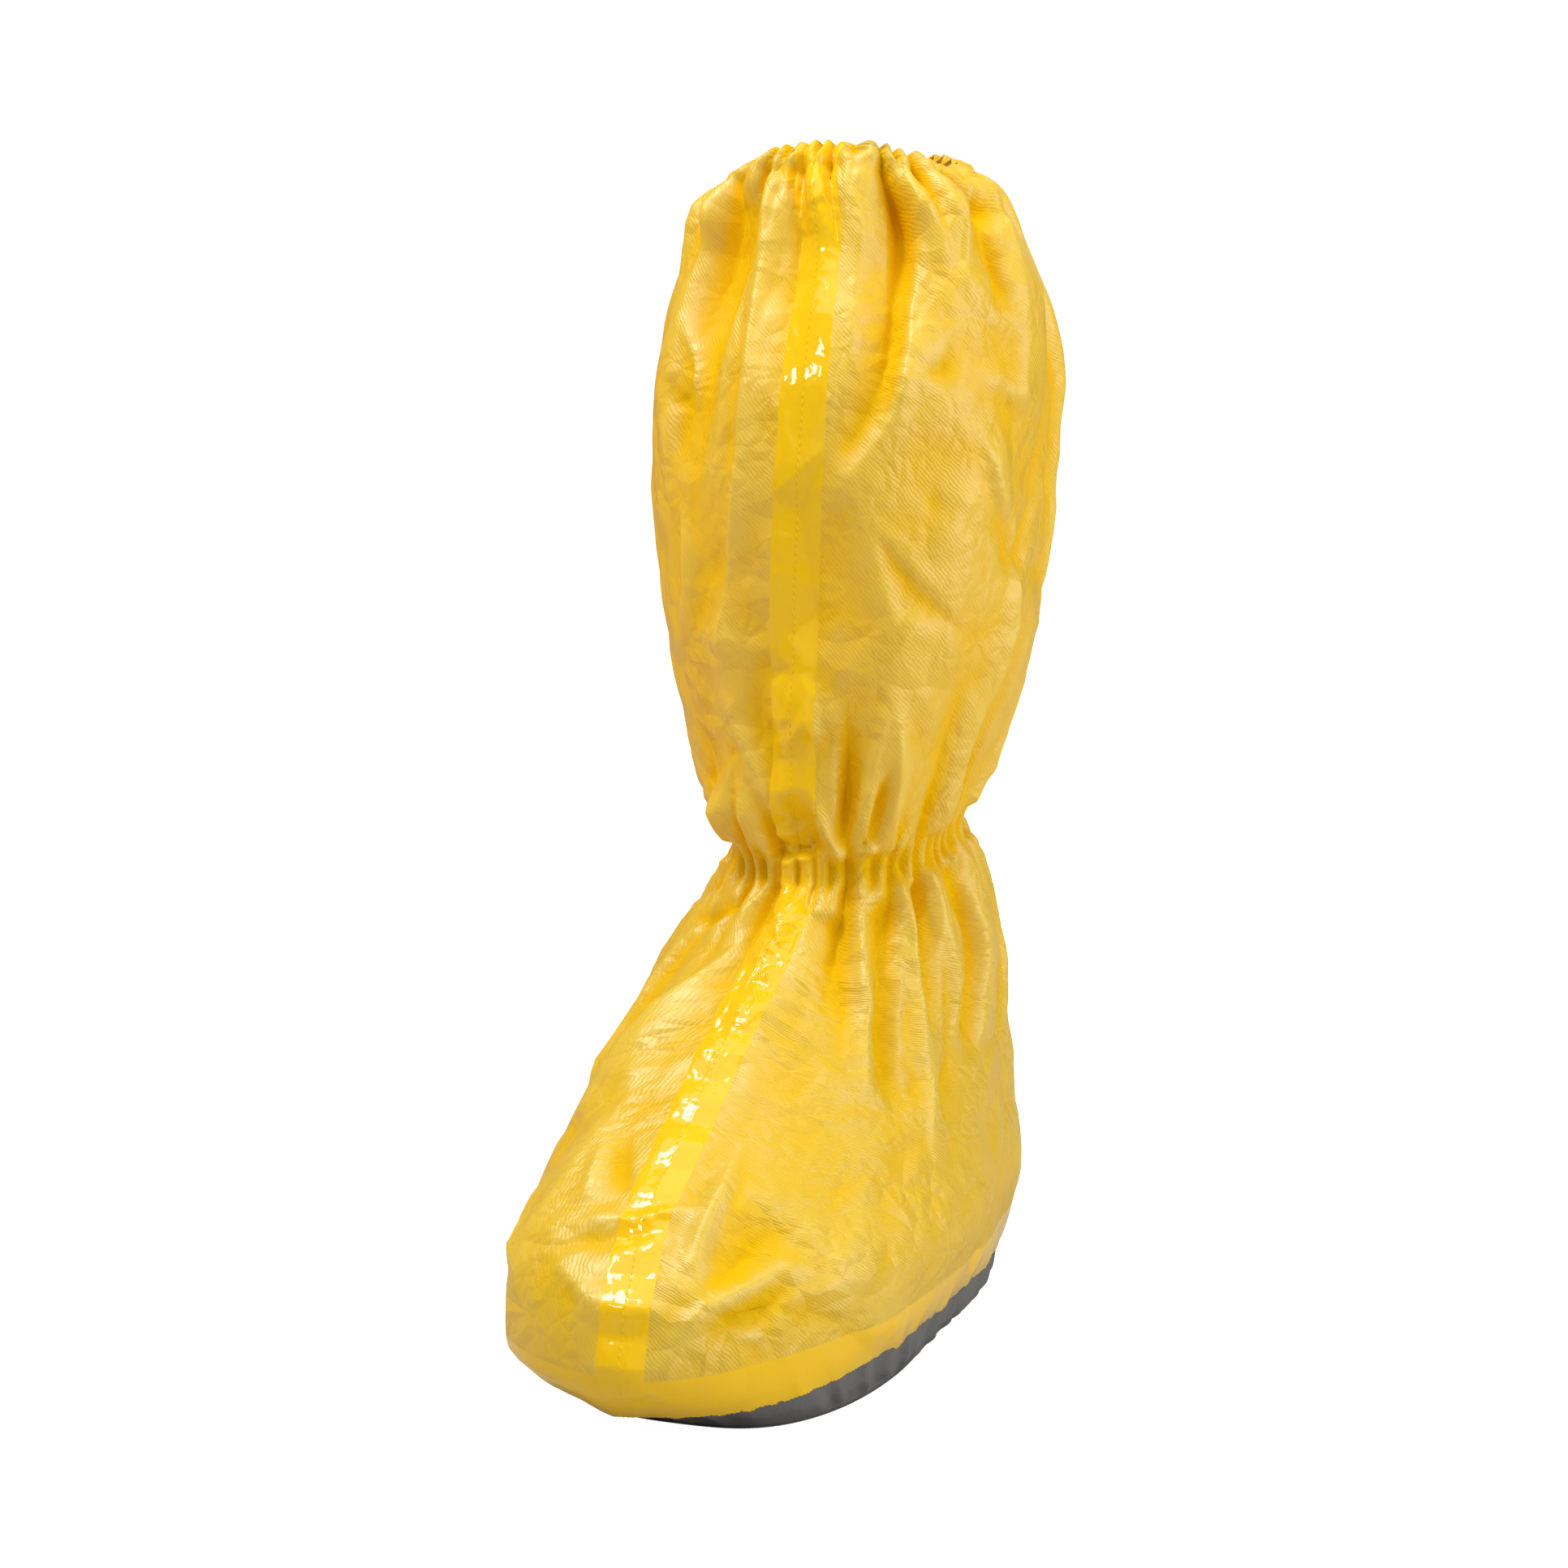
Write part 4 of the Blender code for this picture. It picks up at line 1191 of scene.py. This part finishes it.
def fabric_material():
    """Coated yellow fabric, a little translucent, with a fine diagonal emboss and small crinkles. Its colour
    has
    painted light and shade: paler on crests, deeper in hollows and gathers, where its gloss is dimmed too.
    """
    material, tree, shader = new_material("yellow_fabric", FABRIC_COLOUR, FABRIC_ROUGH)
    place_of = add_node(tree, "ShaderNodeTexCoord")
    uv, spot = place_of.outputs["UV"], place_of.outputs["Object"]
    wander = math_node(tree, "MULTIPLY", noise(tree, uv, WANDER_WAVES), WANDER_SIZE)
    lines = hatch(tree, uv, EMBOSS_LINE, EMBOSS_PITCH, wander)
    patches = math_node(tree, "MULTIPLY", lines, noise(tree, uv, EMBOSS_PATCHES, 3.0))
    normal = None
    for scale, height in FABRIC_FACETS:
        normal = bump(tree, facet_height(tree, uv, scale), height, normal)
    normal = bump(tree, noise(tree, spot, CRINKLE_WAVES, 3.0), CRINKLE_HEIGHT, normal)
    normal = bump(tree, patches, EMBOSS_HEIGHT, normal)
    tree.links.new(normal, shader.inputs["Normal"])
    # Painted light and shade: crests paler, hollows and gathers deeper, shifted by a random mottle
    crest = add_node(tree, "ShaderNodeAttribute", attribute_name="crest").outputs["Fac"]
    uneven = math_node(tree, "SUBTRACT", noise(tree, spot, MOTTLE_WAVES, 3.0), 0.5)
    mottle = math_node(tree, "MULTIPLY", uneven, MOTTLE_SIZE)
    tone = ramp(tree, math_node(tree, "ADD", crest, mottle), FABRIC_DEEP_SHADE, FABRIC_COLOUR, FABRIC_PALE_HIGHLIGHT)
    tree.links.new(tone, shader.inputs["Base Color"])
    # Gloss dimmed in hollows and gathers, as painted shade in their reflections
    gloss = math_node(tree, "MINIMUM", math_node(tree, "MULTIPLY", crest, GLOSS_RISE), GLOSS_MOST)
    tree.links.new(gloss, shader.inputs["Specular IOR Level"])
    see_through(tree, shader, normal)
    return material


def see_through(tree, shader, normal):
    """Mixes some light from behind into a shader, as a thin sheet lets through."""
    inputs = {"Color": (*FABRIC_GLOW, 1.0), "Normal": normal}
    behind = add_node(tree, "ShaderNodeBsdfTranslucent", inputs)
    inputs = {0: FABRIC_THIN, 1: shader.outputs[0], 2: behind.outputs[0]}
    mixed = add_node(tree, "ShaderNodeMixShader", inputs)
    tree.links.new(mixed.outputs[0], tree.nodes["Material Output"].inputs["Surface"])


def tape_material():
    """Glossy yellow tape."""
    material, tree, shader = new_material("yellow_tape", TAPE_COLOUR, TAPE_ROUGH)
    spot = add_node(tree, "ShaderNodeTexCoord").outputs["Object"]
    crinkle = add_node(tree, "ShaderNodeAttribute", attribute_name="crinkle").outputs["Fac"]
    fine = math_node(tree, "MULTIPLY", noise(tree, spot, GLINT_WAVES, 1.0), crinkle)
    normal = bump(tree, noise(tree, spot, DENT_WAVES), DENT_HEIGHT)
    normal = bump(tree, fine, GLINT_HEIGHT, normal)
    tree.links.new(normal, shader.inputs["Normal"])
    tree.links.new(normal, shader.inputs["Coat Normal"])
    shader.inputs["Specular IOR Level"].default_value = TAPE_SPECULAR
    shader.inputs["Coat Weight"].default_value = TAPE_COAT
    shader.inputs["Coat Roughness"].default_value = TAPE_COAT_ROUGH
    return material


def sole_material():
    """Matte grey soft sole, a little mottled."""
    material, tree, shader = new_material("grey_sole", SOLE_COLOUR, SOLE_ROUGH)
    spot = add_node(tree, "ShaderNodeTexCoord").outputs["Object"]
    tone = mix_colour(tree, noise(tree, spot, SOLE_MOTTLE, 4.0), SOLE_DARK, SOLE_COLOUR)
    tree.links.new(tone, shader.inputs["Base Color"])
    normal = bump(tree, noise(tree, spot, SOLE_GRAIN, 3.0), SOLE_GRAIN_HEIGHT)
    tree.links.new(normal, shader.inputs["Normal"])
    return material


def elastic_material():
    """Pale woven elastic, with a fine rib."""
    material, tree, shader = new_material("pale_elastic", ELASTIC_COLOUR, ELASTIC_ROUGH)
    spot = add_node(tree, "ShaderNodeTexCoord").outputs["Object"]
    tone = mix_colour(tree, noise(tree, spot, ELASTIC_MOTTLE, 3.0), ELASTIC_DARK, ELASTIC_COLOUR)
    tree.links.new(tone, shader.inputs["Base Color"])
    ribs = hatch(tree, spot, WEAVE_LINE, WEAVE_PITCH, noise(tree, spot, WEAVE_WANDER))
    tree.links.new(bump(tree, ribs, WEAVE_HEIGHT), shader.inputs["Normal"])
    return material


def floor_material():
    """Plain pale floor that glows."""
    material, _, shader = new_material("floor", FLOOR_COLOUR, FLOOR_ROUGH)
    shader.inputs["Emission Color"].default_value = (*WHITE, 1.0)
    shader.inputs["Emission Strength"].default_value = FLOOR_GLOW
    shader.inputs["Specular IOR Level"].default_value = 0.0
    return material


# Camera, light and floor

def aim_at(piece, target):
    """Turns a camera or lamp so that it looks at a point."""
    piece.rotation_euler = (Vector(target) - piece.location).to_track_quat("-Z", "Y").to_euler()


def add_camera():
    """Camera at the photo's angle to the boot."""
    data = bpy.data.cameras.new("camera")
    data.lens = CAMERA_LENS
    data.sensor_width = SENSOR_WIDTH
    camera = bpy.data.objects.new("camera", data)
    azimuth = math.radians(CAMERA_AZIMUTH)
    camera.location = (
        math.sin(azimuth) * CAMERA_DISTANCE, -math.cos(azimuth) * CAMERA_DISTANCE, CAMERA_HEIGHT)
    aim_at(camera, CAMERA_AIM)
    bpy.context.scene.collection.objects.link(camera)
    bpy.context.scene.camera = camera


def add_lamp(lamp):
    """One soft area lamp, turned to the boot."""
    data = bpy.data.lights.new(lamp.name, "AREA")
    data.shape = "RECTANGLE"
    data.size, data.size_y = lamp.size
    data.energy = lamp.power
    data.color = lamp.colour
    piece = bpy.data.objects.new(lamp.name, data)
    piece.location = lamp.location
    piece.visible_camera = False
    aim_at(piece, LAMP_AIM)
    bpy.context.scene.collection.objects.link(piece)


def add_surround():
    """Even, dim white surround."""
    world = bpy.data.worlds.new("surround")
    bpy.context.scene.world = world
    world.use_nodes = True
    background = world.node_tree.nodes["Background"]
    background.inputs["Color"].default_value = (*WHITE, 1.0)
    background.inputs["Strength"].default_value = SURROUND


def add_backdrop():
    """Backdrop that curves up from the floor, far round the boot."""
    turns = np.linspace(0.0, 2.0 * np.pi, BACKDROP_SIDES, endpoint=False)
    rows = [[(reach * math.cos(turn), reach * math.sin(turn), high) for turn in turns]
            for reach, high in BACKDROP_CURVE]
    return sheet_object("backdrop", np.array(rows))


def add_floor():
    """Plain floor."""
    far = FLOOR_REACH
    corners = [(-far, -far, 0.0), (far, -far, 0.0), (far, far, 0.0), (-far, far, 0.0)]
    return mesh_object("floor", corners, [(0, 1, 2, 3)])


def add_studio():
    """Pale floor and backdrop, whose glow lights only themselves, a soft surround and the lamps."""
    lights_itself = bpy.data.collections.new("lights_itself")
    pale = floor_material()
    for piece in (add_floor(), add_backdrop()):
        piece.data.materials.append(pale)
        lights_itself.objects.link(piece)
        piece.light_linking.receiver_collection = lights_itself
    add_surround()
    for lamp in LAMPS:
        add_lamp(lamp)
    bpy.context.scene.view_settings.view_transform = "Standard"


def build():
    """The whole boot in its studio."""
    cloth = build_cloth()
    fabric, tape, elastic = fabric_material(), tape_material(), elastic_material()
    build_upper(cloth, fabric)
    tape_points, tape_normals = build_front_tape(cloth, tape)
    build_stitches(tape_points, tape_normals, tape)
    build_sole_tape(cloth, tape)
    build_sole(sole_material())
    ankle, hem, rim = (cloth.rows[name] for name in ("ankle", "hem", "rim"))
    around = ankle - ANKLE_REACH, ankle + ANKLE_REACH
    build_elastic(cloth, "ankle_band", "ankle_elastic", around, ANKLE_ELASTIC, elastic)
    between = hem + COLLAR_MARGIN, rim - COLLAR_MARGIN
    build_elastic(cloth, "collar_band", "collar_elastic", between, COLLAR_ELASTIC, elastic)
    add_camera()
    add_studio()


build()
